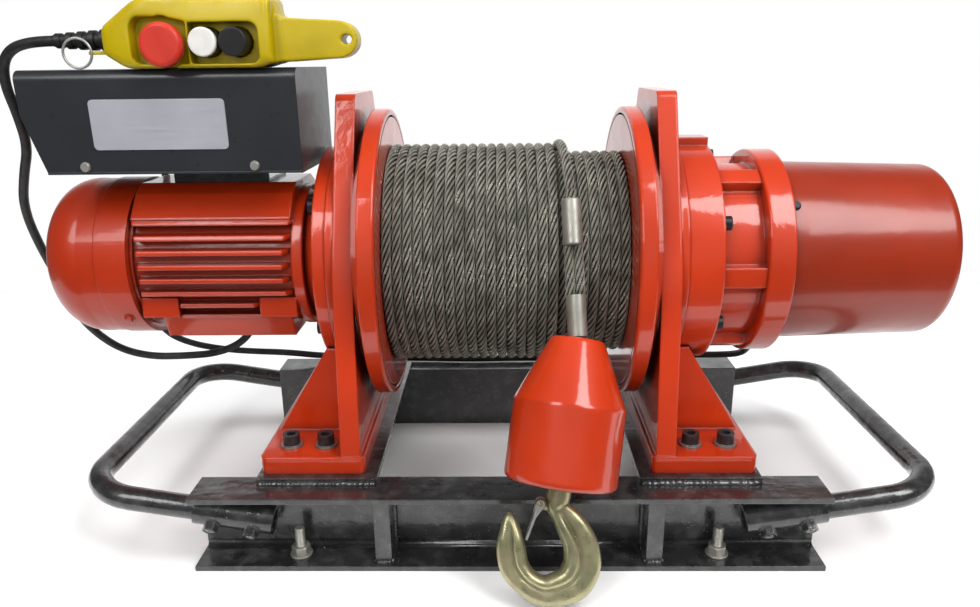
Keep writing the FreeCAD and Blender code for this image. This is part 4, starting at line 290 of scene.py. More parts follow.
class Finish:
    """A Principled material and short ways to feed its sockets."""

    def __init__(self, name, **values):
        self.material = bpy.data.materials.new(name)
        self.material.use_nodes = True
        self.tree = self.material.node_tree
        self.surface = self.tree.nodes["Principled BSDF"]
        self.place = self.tree.nodes.new("ShaderNodeTexCoord").outputs["Object"]
        self.set(**values)

    def set(self, **values):
        """Feeds Principled sockets, named with underscores, with values or other nodes' outputs."""
        for name, value in values.items():
            self.feed(self.surface.inputs[name.replace("_", " ")], value)

    def feed(self, socket, value):
        if isinstance(value, bpy.types.NodeSocket):
            self.tree.links.new(value, socket)
        else:
            socket.default_value = value

    def add(self, kind, inputs, **settings):
        node = self.tree.nodes.new(kind)
        for name, value in settings.items():
            setattr(node, name, value)
        for socket, value in inputs.items():
            self.feed(node.inputs[socket], value)
        return node

    def noise(self, scale, detail, stretch=(1, 1, 1)):
        """Noise with features of about 1/scale metres, stretched along the axes if asked."""
        mapped = self.add("ShaderNodeMapping", {"Vector": self.place, "Scale": stretch})
        inputs = {"Vector": mapped.outputs["Vector"], "Scale": scale, "Detail": detail}
        return self.add("ShaderNodeTexNoise", inputs).outputs["Fac"]

    def span(self, value, low, high, out_low=0.0, out_high=1.0):
        """Maps a value from one range to another, clamped."""
        inputs = {"Value": value, "From Min": low, "From Max": high, "To Min": out_low, "To Max": out_high}
        return self.add("ShaderNodeMapRange", inputs).outputs["Result"]

    def uneven(self, scale, detail, low, high):
        """A value that wanders between two others, in patches of about 1/scale metres."""
        return self.span(self.noise(scale, detail), *NOISE_MIDDLE, low, high)

    def mix(self, share, first, second):
        node = self.add("ShaderNodeMix", {0: share, 6: first, 7: second}, data_type="RGBA")
        return node.outputs[2]

    def math(self, operation, first, second):
        return self.add("ShaderNodeMath", {0: first, 1: second}, operation=operation).outputs["Value"]

    def bump(self, height, depth, normal=None):
        """A bump of that depth in metres, on top of another normal if given."""
        inputs = {"Height": height, "Distance": depth, "Strength": 1.0}
        if normal is not None:
            inputs["Normal"] = normal
        return self.add("ShaderNodeBump", inputs).outputs["Normal"]

    def soft_edges(self, radius):
        return self.add("ShaderNodeBevel", {"Radius": radius}, samples=6).outputs["Normal"]

    def open_share(self, distance):
        """1 where the surface is open and towards 0 in corners within that distance; the finishes use it to paint
        shade into corners.
        """
        return self.add("ShaderNodeAmbientOcclusion", {"Distance": distance}, samples=6).outputs["AO"]


def rgb(red, green, blue):
    return (red, green, blue, 1.0)


def toned(base, share):
    """A base colour made darker or paler."""
    return rgb(*(share * part for part in base))


def red_paint(name, base, gloss, coat, lumps, peel, edge=0.0015):
    """Orange-red paint over a casting or a sheet: lumps and orange peel, with painted shade in the corners."""
    f = Finish(name, Specular_IOR_Level=0.25, Coat_Weight=coat, Coat_Roughness=gloss)
    pale_dust = rgb(0.50, 0.15, 0.09)
    painted_shade = rgb(0.10, 0.008, 0.004)
    tone = f.mix(f.span(f.noise(7.0, 5.0), 0.35, 0.72), rgb(*base), toned(base, DEEP_TONE))
    dust = f.span(f.noise(900.0, 2.0), 0.70, 0.78, 0.0, 0.20)
    tone = f.mix(dust, tone, pale_dust)
    # Painted shade: an occlusion mask turns the paint near black in corners and crevices
    corner = f.span(f.open_share(0.014), 0.25, 0.85)
    f.set(Base_Color=f.mix(corner, painted_shade, tone))
    f.set(Roughness=f.uneven(26.0, 4.0, 0.30, 0.45))
    normal = f.bump(f.noise(55.0, 2.0), lumps, f.soft_edges(edge))
    normal = f.bump(f.noise(420.0, 1.0), peel, normal)
    f.set(Normal=normal, Coat_Normal=normal)
    return f.material


def black_paint():
    """Gloss black over rolled steel: blotchy gloss, mill marks along the bar, dust and pale chips."""
    f = Finish("black_paint", Coat_Weight=0.9, Coat_Roughness=0.10)
    black, dusty = rgb(0.012, 0.012, 0.013), rgb(0.095, 0.095, 0.092)
    speck, chip = rgb(0.30, 0.29, 0.27), rgb(0.22, 0.21, 0.20)
    dust = f.span(f.noise(70.0, 8.0), 0.47, 0.78, 0.0, 0.42)
    tone = f.mix(dust, black, dusty)
    specks = f.span(f.noise(640.0, 2.0), 0.70, 0.735, 0.0, 0.6)
    tone = f.mix(specks, tone, speck)
    chips = f.span(f.noise(150.0, 6.0), 0.735, 0.755, 0.0, 0.7)
    f.set(Base_Color=f.mix(chips, tone, chip))
    f.set(Roughness=f.uneven(60.0, 6.0, 0.18, 0.50))
    normal = f.bump(f.noise(30.0, 3.0, (0.35, 1, 1)), 0.0011, f.soft_edges(0.0014))
    normal = f.bump(f.noise(150.0, 4.0), 0.00022, normal)
    f.set(Normal=normal, Coat_Normal=normal)
    return f.material


def grey_paint():
    """Dark grey texture paint on the control box's sheet."""
    f = Finish("grey_paint", Specular_IOR_Level=0.5)
    dark, pale = rgb(0.015, 0.017, 0.021), rgb(0.022, 0.024, 0.028)
    f.set(Base_Color=f.mix(f.span(f.noise(16.0, 5.0), 0.3, 0.75), dark, pale))
    f.set(Roughness=f.uneven(90.0, 4.0, 0.27, 0.33))
    f.set(Normal=f.bump(f.noise(350.0, 3.0), 0.00004, f.soft_edges(0.0012)))
    return f.material


def wire_rope():
    """Greased steel wire: bright steel on the crests, painted shade in black between the strands, fine wires along
    the rope.
    """
    f = Finish("wire_rope", Metallic=0.7)
    bright, greasy, black = rgb(0.74, 0.725, 0.62), rgb(0.33, 0.325, 0.265), rgb(0.016, 0.015, 0.011)
    crest = f.add("ShaderNodeAttribute", {}, attribute_name="crest").outputs["Fac"]
    uv = f.add("ShaderNodeUVMap", {}, uv_map="along").outputs["UV"]
    wires = f.add("ShaderNodeTexWave", {"Vector": uv, "Scale": 1.0}, wave_type="BANDS").outputs["Fac"]
    grease = f.noise(60.0, 5.0)
    steel = f.mix(f.span(grease, 0.35, 0.7), bright, greasy)
    # Painted shade: the colour turns near black towards the valleys between the strands
    f.set(Base_Color=f.mix(f.span(crest, 0.30, 1.0), black, steel))
    f.set(Roughness=f.span(grease, *NOISE_MIDDLE, 0.24, 0.42))
    f.set(Normal=f.bump(wires, 0.00022))
    return f.material


def bare_metal(name, bright, dull, roughness, grain=(1, 1, 1), scale=160.0, metallic=1.0):
    """Bare or plated metal: two tones in patches, with a grain along the axes if asked."""
    f = Finish(name, Metallic=metallic)
    patch = f.span(f.noise(24.0, 5.0), 0.3, 0.72)
    f.set(Base_Color=f.mix(patch, rgb(*bright), rgb(*dull)))
    lines = f.noise(scale, 4.0, grain)
    f.set(Roughness=f.span(lines, *NOISE_MIDDLE, 0.75 * roughness, 1.3 * roughness))
    f.set(Normal=f.bump(lines, 0.00003, f.soft_edges(0.0006)))
    return f.material


def yellow_zinc():
    """Yellow chromate on a forging: gold with green and rose patches, over a rough skin, with painted shade in its
    corners.
    """
    f = Finish("yellow_zinc", Metallic=0.8)
    gold, green = rgb(0.44, 0.41, 0.24), rgb(0.27, 0.275, 0.16)
    rose, painted_shade = rgb(0.36, 0.27, 0.19), rgb(0.05, 0.04, 0.02)
    tone = f.mix(f.span(f.noise(38.0, 4.0), 0.38, 0.66), gold, green)
    tone = f.mix(f.span(f.noise(61.0, 4.0), 0.56, 0.72, 0.0, 0.5), tone, rose)
    # Painted shade: an occlusion mask turns the forging dark brown in its corners and grooves
    corner = f.span(f.open_share(0.006), 0.40, 0.95)
    f.set(Base_Color=f.mix(corner, painted_shade, tone))
    f.set(Roughness=f.uneven(120.0, 5.0, 0.24, 0.46))
    f.set(Normal=f.bump(f.noise(110.0, 6.0), 0.0005, f.soft_edges(0.0008)))
    return f.material


def dark_metal(name, base, metallic, roughness):
    """Oxide or core iron: dark, a little mottled."""
    f = Finish(name, Metallic=metallic)
    mottle = f.span(f.noise(180.0, 4.0), 0.4, 0.75)
    f.set(Base_Color=f.mix(mottle, rgb(*base), toned(base, PALE_TONE)))
    f.set(Roughness=f.uneven(320.0, 3.0, 0.8 * roughness, 1.25 * roughness))
    f.set(Normal=f.bump(f.noise(800.0, 2.0), 0.00003, f.soft_edges(0.0005)))
    return f.material


def washered_screws(washer_top):
    """Black socket screws on pale washers, split by the height of the washers' top."""
    f = Finish("washered_screws")
    z = f.add("ShaderNodeSeparateXYZ", {"Vector": f.place}).outputs["Z"]
    washer = f.math("LESS_THAN", z, washer_top)
    mottle = f.span(f.noise(180.0, 4.0), 0.4, 0.75)
    black = f.mix(mottle, rgb(0.012, 0.012, 0.014), rgb(0.030, 0.030, 0.032))
    steel = f.mix(mottle, rgb(0.30, 0.28, 0.26), rgb(0.20, 0.17, 0.15))
    f.set(Base_Color=f.mix(washer, black, steel), Metallic=f.math("MULTIPLY", washer, 0.7))
    f.set(Roughness=f.uneven(320.0, 3.0, 0.28, 0.42))
    f.set(Normal=f.bump(f.noise(800.0, 2.0), 0.00003, f.soft_edges(0.0006)))
    return f.material


def plastic(name, base, roughness):
    """Moulded plastic: spark-eroded skin, faint stains and painted shade in the corners."""
    f = Finish(name, Specular_IOR_Level=0.38)
    stain = f.span(f.noise(30.0, 6.0), 0.48, 0.80, 0.0, 0.72)
    tone = f.mix(stain, rgb(*base), toned(base, DEEP_TONE))
    # Painted shade: an occlusion mask darkens the plastic in its corners and recesses
    corner = f.span(f.open_share(0.008), 0.3, 0.9)
    f.set(Base_Color=f.mix(corner, toned(base, CORNER_SHADE_TONE), tone))
    f.set(Roughness=f.uneven(70.0, 5.0, 0.8 * roughness, 1.25 * roughness))
    f.set(Normal=f.bump(f.noise(1500.0, 2.0), 0.00003, f.soft_edges(0.0009)))
    return f.material


def capped_plastic(barrel_y):
    """The white button: a white cap on a black barrel, split by a plane across Y."""
    f = Finish("white_button_plastic", Specular_IOR_Level=0.45)
    y = f.add("ShaderNodeSeparateXYZ", {"Vector": f.place}).outputs["Y"]
    barrel = f.math("GREATER_THAN", y, barrel_y)
    stain = f.span(f.noise(90.0, 5.0), 0.45, 0.8, 0.0, 0.5)
    white = f.mix(stain, rgb(0.66, 0.65, 0.62), rgb(0.45, 0.44, 0.41))
    f.set(Base_Color=f.mix(barrel, white, rgb(0.015, 0.015, 0.016)))
    f.set(Roughness=f.uneven(120.0, 4.0, 0.30, 0.45))
    f.set(Normal=f.bump(f.noise(1500.0, 2.0), 0.00003, f.soft_edges(0.0009)))
    return f.material


def cable_rubber():
    """Black cable sheath with a dull, dusty skin."""
    f = Finish("cable_rubber", Specular_IOR_Level=0.35)
    dust = f.span(f.noise(120.0, 5.0), 0.45, 0.8, 0.0, 0.6)
    f.set(Base_Color=f.mix(dust, rgb(0.012, 0.012, 0.012), rgb(0.045, 0.044, 0.042)))
    f.set(Roughness=f.uneven(200.0, 3.0, 0.42, 0.60))
    f.set(Normal=f.bump(f.noise(1200.0, 2.0), 0.00003))
    return f.material


CAST_RED = (0.50, 0.032, 0.003)
SHEET_RED = (0.265, 0.021, 0.004)
COWL_RED = (0.42, 0.027, 0.003)
FINISHES = {
    "red_paint": red_paint("cast_red_paint", CAST_RED, 0.07, 0.9, lumps=0.00024, peel=0.00003, edge=0.003),
    "sheet_red": red_paint("sheet_red_paint", SHEET_RED, 0.16, 0.6, lumps=0.00025, peel=0.00001),
    "cowl_red": red_paint("cowl_red_paint", COWL_RED, 0.10, 0.45, lumps=0.0002, peel=0.00002),
    "black_paint": black_paint(),
    "grey_paint": grey_paint(),
    "wire_rope": wire_rope(),
    "zinc": bare_metal("zinc", (0.60, 0.59, 0.55), (0.40, 0.39, 0.36), 0.40, metallic=0.8),
    "yellow_zinc": yellow_zinc(),
    "swaged_sleeve": bare_metal(
        "swaged_sleeve", (0.44, 0.43, 0.38), (0.27, 0.265, 0.235), 0.46, metallic=0.8,
    ),
    "black_oxide": dark_metal("black_oxide", (0.014, 0.014, 0.016), metallic=0.35, roughness=0.40),
    "washered_screws": washered_screws(WASHER_TOP),
    "bare_plate": bare_metal(
        "bare_plate", (0.50, 0.51, 0.56), (0.43, 0.44, 0.49), 0.42,
        grain=(0.02, 1, 1), scale=900.0, metallic=0.5,
    ),
    "machined_steel": bare_metal(
        "machined_steel", (0.56, 0.56, 0.55), (0.42, 0.42, 0.42), 0.30, grain=(1, 0.1, 0.1), scale=700.0,
    ),
    "core_iron": dark_metal("core_iron", (0.10, 0.10, 0.10), metallic=0.8, roughness=0.45),
    "yellow_plastic": plastic("yellow_plastic", (0.44, 0.33, 0.001), roughness=0.34),
    "red_plastic": plastic("red_plastic", (0.52, 0.030, 0.016), roughness=0.34),
    "white_plastic": capped_plastic(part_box("white_button")[0].y + WHITE_CAP_T),
    "black_plastic": plastic("black_plastic", (0.015, 0.015, 0.016), roughness=0.40),
    "cable_rubber": cable_rubber(),
}
NODE_FINISHES = {
    "end_cover": "sheet_red",
    "fan_cowl": "cowl_red",
    "rope_ferrules": "swaged_sleeve",
    "foot_screws": "washered_screws",
}


def dress_nodes():
    """Gives each CAD node its own finish if it has one, and otherwise that of its slot."""
    for name, node in NODES.items():
        node.data.materials.clear()
        node.data.materials.append(FINISHES[NODE_FINISHES.get(name, SLOTS[name])])


def mesh_piece(name, points, faces, slot, body, smooth=True, finish=None):
    """A mesh object of the winch that rides on a body and takes a slot's finish, or one of its own."""
    mesh = bpy.data.meshes.new(name)
    mesh.from_pydata([tuple(p) for p in points], [], [tuple(f) for f in faces])
    mesh.materials.append(FINISHES[finish or slot])
    mesh.polygons.foreach_set("use_smooth", [smooth] * len(mesh.polygons))
    mesh.update()
    piece = bpy.data.objects.new(name, mesh)
    bpy.context.scene.collection.objects.link(piece)
    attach(piece, body)
    return piece


class Heap:
    """Points and faces of several forms that become one mesh."""

    def __init__(self):
        self.points = []
        self.faces = []

    def add(self, points, faces):
        first = len(self.points)
        self.points.extend(points)
        self.faces.extend([tuple(first + i for i in face) for face in faces])


def lattice_faces(rings, around, closed):
    """Quads between rings of points, and from the last ring to the first if closed."""
    faces = []
    for ring in range(rings if closed else rings - 1):
        low = ring * around
        high = (ring + 1) % rings * around
        for k in range(around):
            after = (k + 1) % around
            faces.append((low + k, low + after, high + after, high + k))
    return faces


def capped_faces(rings, around):
    """Quads between rings of points, and a face across each end."""
    first = tuple(range(around))[::-1]
    last = tuple(range((rings - 1) * around, rings * around))
    return lattice_faces(rings, around, False) + [first, last]


def turned(profile, base, axis, sides=32, hexed=()):
    """A closed form turned about an axis from (radius, height) points; listed rows are six-sided."""
    axis = Vector(axis).normalized()
    across = axis.orthogonal().normalized()
    up = axis.cross(across)
    points = []
    for row, (radius, height) in enumerate(profile):
        for k in range(sides):
            turn = 2 * math.pi * k / sides
            reach = radius
            if row in hexed:
                off = (turn + math.pi / 6) % (math.pi / 3) - math.pi / 6
                reach = radius * math.cos(math.pi / 6) / math.cos(off)
            outward = across * math.cos(turn) + up * math.sin(turn)
            points.append(Vector(base) + axis * height + outward * reach)
    return points, capped_faces(len(profile), sides)


# Wire rope
def strand_profile():
    """Radius shares and crest heights round one section of a six-strand rope."""
    per_strand = SECTION_POINTS // ROPE_STRANDS
    radii = []
    crests = []
    for k in range(SECTION_POINTS):
        off = math.pi / ROPE_STRANDS * (2 * (k % per_strand) / per_strand - 1)
        lean = STRAND_RING * math.sin(off)
        radius = STRAND_RING * math.cos(off) + math.sqrt(max(STRAND_R_SQUARED - lean * lean, 0.0))
        radii.append(radius)
        crests.append((radius - VALLEY_R) / (1 - VALLEY_R))
    return np.array(radii), np.array(crests)


class RopeHeap(Heap):
    """Rope runs that become one mesh, with crest heights and coordinates along the rope."""

    def __init__(self):
        super().__init__()
        self.crests = []
        self.along = []
        self.radii, self.profile = strand_profile()

    def add_run(self, centres, normals, sides, twists, radius, closed):
        """One run: centre line, two directions across it, and the turn of the strands at each section."""
        turns = np.arange(SECTION_POINTS) * 2 * math.pi / SECTION_POINTS
        wires = turns * ROPE_STRANDS / (2 * math.pi) * WIRES_PER_STRAND
        reach = radius * self.radii[:, None]
        points = []
        for centre, normal, side, twist in zip(centres, normals, sides, twists):
            angles = turns + twist
            ring = centre + reach * (np.cos(angles)[:, None] * normal + np.sin(angles)[:, None] * side)
            points.extend(map(tuple, ring))
            self.crests.extend(self.profile)
            phase = twist * ROPE_STRANDS / (2 * math.pi)
            self.along.extend((wire, phase * WIRE_SLANT) for wire in wires)
        if closed:
            self.add(points, lattice_faces(len(centres), SECTION_POINTS, True))
        else:
            self.add(points, capped_faces(len(centres), SECTION_POINTS))

    def piece(self, name, body):
        rope = mesh_piece(name, self.points, self.faces, "wire_rope", body)
        crest = rope.data.attributes.new("crest", "FLOAT", "POINT")
        crest.data.foreach_set("value", np.array(self.crests, dtype=np.float32))
        layer = rope.data.uv_layers.new(name="along")
        corners = np.empty(len(rope.data.loops), dtype=np.int32)
        rope.data.loops.foreach_get("vertex_index", corners)
        layer.data.foreach_set("uv", np.array(self.along, dtype=np.float32)[corners].ravel())
        return rope


def drum_place(x, radius, angle):
    """A point round the drum; angle 0 is the front and 90 degrees the top."""
    turn = math.radians(angle)
    return np.array((x, -radius * math.cos(turn), AXIS_Z + radius * math.sin(turn)))


def drum_outward(angle):
    turn = math.radians(angle)
    return np.array((0.0, -math.cos(turn), math.sin(turn)))


def rope_layout():
    """Left end of the wound rope, pitch of its turns, and radii of its second and top layers."""
    low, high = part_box("rope_winding")
    pitch = (high.x - low.x) / TURNS_PER_LAYER
    top_r = high.z - AXIS_Z - ROPE_R
    return low.x, pitch, top_r - ROPE_R * math.sqrt(3), top_r


def wound_rope():
    """The rope on the drum, turn by turn, over a sleeve that closes the gaps between turns and shows there as
    painted shade.
    """
    start, pitch, second_r, top_r = rope_layout()
    heap = RopeHeap()
    turns = [(start + (k + 0.5) * pitch, top_r) for k in range(TOP_LAYER_TURNS)]
    turns += [(start + (k + 0.5) * pitch, second_r) for k in range(TOP_LAYER_TURNS, TURNS_PER_LAYER)]
    jitter = random.Random(ROPE_SEED)
    for x, radius in turns:
        lays = round(2 * math.pi * radius / ROPE_LAY)
        sections = lays * SECTIONS_PER_LAY
        angles = [360 * k / sections for k in range(sections)]
        first = jitter.uniform(0, 2 * math.pi)
        centres = [drum_place(x, radius, a) for a in angles]
        normals = [drum_outward(a) for a in angles]
        sides = [np.array((1.0, 0.0, 0.0))] * sections
        twists = [first + math.radians(a) * lays for a in angles]
        heap.add_run(centres, normals, sides, twists, ROPE_R, True)
    # The sleeve has no crest heights, so the rope's finish paints it black: painted shade in the gaps between the
    # turns
    sleeve_break = start + TOP_LAYER_TURNS * pitch
    top_sleeve = top_r - SLEEVE_SINK * ROPE_R
    second_sleeve = second_r - SLEEVE_SINK * ROPE_R
    points, faces = turned([
        (top_r - ROPE_R, start), (top_sleeve, start), (top_sleeve, sleeve_break),
        (second_sleeve, sleeve_break), (second_sleeve, -start), (second_r - ROPE_R, -start),
    ], (0, 0, AXIS_Z), (1, 0, 0), SLEEVE_SIDES)
    mesh_piece("rope_core", points, faces, "wire_rope", "drum")
    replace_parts(heap.piece("wound_rope", "drum"), "rope_winding")


def frames_along(centres, normal):
    """Directions across a centre line, carried along it from a first normal."""
    centres = [Vector(c) for c in centres]
    normals = []
    sides = []
    normal = Vector(normal)
    for k in range(len(centres)):
        ahead = centres[min(k + 1, len(centres) - 1)] - centres[max(k - 1, 0)]
        ahead.normalize()
        normal = (normal - ahead * normal.dot(ahead)).normalized()
        normals.append(np.array(normal))
        sides.append(np.array(normal.cross(ahead)))
    return normals, sides


def twists_along(centres):
    """The turn of a rope's strands at each point of its centre line."""
    turn = 0.0
    twists = [turn]
    for before, after in zip(centres, centres[1:]):
        turn -= 2 * math.pi * float(np.linalg.norm(after - before)) / ROPE_LAY
        twists.append(turn)
    return twists


def rope_tail():
    """The rope's end: it leaves the top layer behind the drum's crown and runs down to the line's pivot."""
    start, pitch, second_r, _ = rope_layout()
    end = np.array(LINE_PIVOT)
    end_r = math.hypot(end[1], end[2] - AXIS_Z)
    end_angle = math.degrees(math.atan2(end[2] - AXIS_Z, -end[1]))
    last_turn_x = start + (TOP_LAYER_TURNS - 0.5) * pitch
    clear_x = last_turn_x + 2 * ROPE_R
    clear_r = second_r + 2 * ROPE_R + TAIL_RISE
    centres = []
    for k in range(TAIL_SECTIONS + 1):
        angle = TAIL_START_ANGLE + (end_angle - TAIL_START_ANGLE) * k / TAIL_SECTIONS
        if angle > TAIL_CLEAR_ANGLE:
            share = (angle - TAIL_CLEAR_ANGLE) / (TAIL_START_ANGLE - TAIL_CLEAR_ANGLE)
            share = share * share * (3 - 2 * share)
            centres.append(drum_place(clear_x + (last_turn_x - clear_x) * share, clear_r, angle))
        else:
            share = (TAIL_CLEAR_ANGLE - angle) / (TAIL_CLEAR_ANGLE - end_angle)
            x = clear_x + (end[0] - clear_x) * share
            centres.append(drum_place(x, clear_r + (end_r - clear_r) * share, angle))
    normals, sides = frames_along(centres, drum_outward(TAIL_START_ANGLE))
    heap = RopeHeap()
    heap.add_run(centres, normals, sides, twists_along(centres), ROPE_R, False)
    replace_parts(heap.piece("rope_tail_strands", ROOT), "rope_tail")


def straight_rope(heap, top, length, radius):
    """A straight run of rope down the hook line from a point."""
    sections = max(int(length / ROPE_LAY * SECTIONS_PER_LAY), FEWEST_SECTIONS)
    centres = [np.array(top - LINE_UP * (length * k / sections)) for k in range(sections + 1)]
    normals = [np.array(-PIN_DIR)] * len(centres)
    sides = [np.array(SIDE_DIR)] * len(centres)
    heap.add_run(centres, normals, sides, twists_along(centres), radius, False)


def eye_ropes():
    """The rope's eye: two runs side by side between the ferrules, and the bare end above them."""
    heap = RopeHeap()
    for side in (-1, 1):
        top = LINE_PIVOT - LINE_UP * EYE_TOP_DROP + SIDE_DIR * (side * EYE_HALF)
        straight_rope(heap, top, EYE_LENGTH, EYE_HALF)
    straight_rope(heap, LINE_PIVOT + LINE_UP * STUB_RISE, STUB_LENGTH, ROPE_R)
    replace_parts(heap.piece("eye_rope_strands", "hook_line"), "eye_rope")


# Hook
def smooth_rows(rows, count):
    """Rows of numbers on a smooth curve through the given rows, with that many steps between them."""
    rows = [np.array(row, dtype=float) for row in rows]
    out = []
    for k in range(len(rows) - 1):
        before, start = rows[max(k - 1, 0)], rows[k]
        end, after = rows[k + 1], rows[min(k + 2, len(rows) - 1)]
        for step in range(count):
            t = step / count
            bend = 2 * before - 5 * start + 4 * end - after
            twist = 3 * start - before - 3 * end + after
            out.append(0.5 * (2 * start + (end - before) * t + bend * t * t + twist * t ** 3))
    out.append(rows[-1])
    return out


def weight_point(x, y, z):
    """A point in the hook weight's own frame, in millimetres from the foot of its axis."""
    return WEIGHT_FOOT + (WEIGHT_SIDE * x + PIN_DIR * y + WEIGHT_UP * z) * MM


def hook_rows():
    """The hook's line from shank to tip: x, z, half width, half thickness, share of the forged step."""
    rows = [(0, z, radius, radius, step) for z, radius, step in HOOK_SHANK]
    for angle, radius, half in HOOK_STATIONS:
        turn = math.radians(angle)
        x = HOOK_BOWL_SHIFT + radius * math.cos(turn)
        z = radius * math.sin(turn) - HOOK_BOWL_DROP
        step = min(1.0, max(0.0, (half - STEP_SLIM) / STEP_FADE))
        if angle > NECK_ANGLE:
            step *= NECK_STEP
        rows.append((x, z, half, min(HOOK_HALF_T, HOOK_FLATNESS * half), step))
    return smooth_rows(rows, ROWS_PER_STATION)


def hook_forging():
    """The forged hook: a bead round the bowl, a thinner flange outside it, and the latch's lug and pin."""
    half_count = len(HOOK_PROFILE)
    rows = hook_rows()
    points = []
    for k, (x, z, half, thick, step) in enumerate(rows):
        behind, ahead = rows[max(k - 1, 0)], rows[min(k + 1, len(rows) - 1)]
        dx, dz = ahead[0] - behind[0], ahead[1] - behind[1]
        reach = math.hypot(dx, dz)
        inward = (dz / reach, -dx / reach)
        ring = []
        for m, (u, v) in enumerate(HOOK_PROFILE):
            turn = math.pi * m / (half_count - 1)
            across = half * ((1 - step) * math.cos(turn) + step * u)
            rise = thick * ((1 - step) * math.sin(turn) + step * v)
            ring.append((across, rise))
        ring += [(across, -rise) for across, rise in ring[-2:0:-1]]
        points.extend(weight_point(x + inward[0] * a, r, z + inward[1] * a) for a, r in ring)
    heap = Heap()
    heap.add(points, capped_faces(len(rows), 2 * half_count - 2))
    pivot_x, pivot_z = LATCH_PIVOT
    outline = []
    for a in np.linspace(0.5, 1.5, LUG_STEPS) * math.pi:
        outline.append((pivot_x + LUG_R * math.cos(a), pivot_z + LUG_R * math.sin(a)))
    outline += [(LUG_ROOT_X, pivot_z - LUG_R), (LUG_ROOT_X, pivot_z + LUG_R)]
    lug = [weight_point(x, y, z) for y in (-LUG_HALF, LUG_HALF) for x, z in outline]
    heap.add(lug, capped_faces(2, len(outline)))
    pin_r, length = PIN_R * MM, 2 * PIN_HALF * MM
    heap.add(*turned([
        (pin_r - PIN_EDGE, 0), (pin_r, PIN_EDGE), (pin_r, length - PIN_EDGE), (pin_r - PIN_EDGE, length),
    ], weight_point(pivot_x, -PIN_HALF, pivot_z), PIN_DIR))
    hook = mesh_piece("hook_forging", heap.points, heap.faces, "yellow_zinc", "hook")
    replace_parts(hook, "hook")


# Handset
def relaxed(points, edges, share, rounds):
    """Points drawn towards the mean of their neighbours, each by its share, round after round."""
    count = np.bincount(edges.ravel(), minlength=len(points))[:, None]
    for _ in range(rounds):
        total = np.zeros_like(points)
        np.add.at(total, edges[:, 0], points[edges[:, 1]])
        np.add.at(total, edges[:, 1], points[edges[:, 0]])
        points = points + share[:, None] * (total / count - points)
    return points


def moulded(points):
    """Handset points, in millimetres: a bellied front, a full shoulder and a tail that tapers to its tip."""
    x, y, z = points.T
    mid_y = (HANDSET_Y[0] + HANDSET_Y[1]) / 2
    half_y = (HANDSET_Y[1] - HANDSET_Y[0]) / 2
    above = (z - HANDSET_FOOT_Z - BELLY_RISE) / (HANDSET_HEIGHT - BELLY_RISE)
    nose = BELLY * np.clip((NOSE_X - x) / (NOSE_X - HANDSET_X[0]), 0, 1) ** 2
    y = y + (BELLY * above ** 2 + nose) * np.clip((mid_y - y) / half_y, -1, 1)
    slope = np.clip((x - HANDSET_X[0]) / (SHOULDER_END_X - HANDSET_X[0]), 0, 1)
    z = z + SHOULDER * np.sin(math.pi * slope) * np.clip(above * SHOULDER_SPREAD, 0, 1)
    along = np.clip((x - TAIL_X) / (HANDSET_X[1] - TAIL_X), 0, 1)
    on_tail = np.clip((x - TAIL_X) / TAIL_BLEND, 0, 1)
    height = 1 + on_tail * (TAIL_HEIGHTS[0] + (TAIL_HEIGHTS[1] - TAIL_HEIGHTS[0]) * along - 1)
    depth = 1 + on_tail * (TAIL_DEPTHS[0] + (TAIL_DEPTHS[1] - TAIL_DEPTHS[0]) * along - 1)
    tail_z = HANDSET_FOOT_Z + TAIL_RISE_MID
    return np.stack((x, mid_y + (y - mid_y) * depth, tail_z + (z - tail_z) * height), axis=1)


def cleared(points):
    """Handset points with the buttons' bores and the stop button's room widened, so that they stay free."""
    x, y, z = points.T.copy()
    for middle_x, rise, radius, front, rear in BUTTON_ROOMS:
        middle_z = HANDSET_FOOT_Z + rise
        across, up = x - middle_x, z - middle_z
        reach = np.hypot(across, up)
        wall = (reach > radius - ROOM_REACH) & (reach < radius + ROOM_GAP) & (y > front) & (y < rear)
        push = np.where(wall, (radius + ROOM_GAP) / np.maximum(reach, ROOM_REACH), 1.0)
        x, z = middle_x + across * push, middle_z + up * push
        bottom = (reach < radius + ROOM_REACH) & (y > BORE_BOTTOM_Y - ROOM_REACH) & (y < rear)
        y = y + np.where(bottom, ROOM_REACH, 0.0)
    return np.stack((x, y, z), axis=1)


def handset_moulding():
    """The handset's body with a moulding's soft, bellied skin; its pocket and lug aren't softened."""
    piece = bpy.data.objects.new("handset_moulding", NODES["handset_body"].data.copy())
    bpy.context.scene.collection.objects.link(piece)
    even = piece.modifiers.new("even", "REMESH")
    even.mode = "VOXEL"
    even.voxel_size = VOXEL * MM
    mesh = bpy.data.meshes.new_from_object(piece.evaluated_get(bpy.context.evaluated_depsgraph_get()))
    piece.modifiers.clear()
    piece.data = mesh
    points = np.empty(3 * len(mesh.vertices))
    mesh.vertices.foreach_get("co", points)
    points = points.reshape(-1, 3) / MM
    edges = np.empty(2 * len(mesh.edges), dtype=np.int64)
    mesh.edges.foreach_get("vertices", edges)
    x, y, z = points.T
    sunk = (x > POCKET_X[0] - POCKET_MARGIN) & (x < POCKET_X[1] + POCKET_MARGIN)
    sunk &= (y > HANDSET_Y[0] + POCKET_MARGIN) & (y < HANDSET_Y[1] - POCKET_BACK)
    sunk &= (z > HANDSET_FOOT_Z + POCKET_MARGIN) & (z < HANDSET_FOOT_Z + POCKET_TOP)
    lug = x < HANDSET_X[0]
    share = np.where(sunk | lug, 0.0, SOFT_SHARE)
    soft = relaxed(points, edges.reshape(-1, 2), share, SOFT_ROUNDS)
    mesh.vertices.foreach_set("co", (moulded(cleared(soft)) * MM).ravel())
    mesh.polygons.foreach_set("use_smooth", [True] * len(mesh.polygons))
    mesh.materials.clear()
    mesh.materials.append(FINISHES["yellow_plastic"])
    mesh.update()
    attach(piece, ROOT)
    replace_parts(piece, "handset_body")


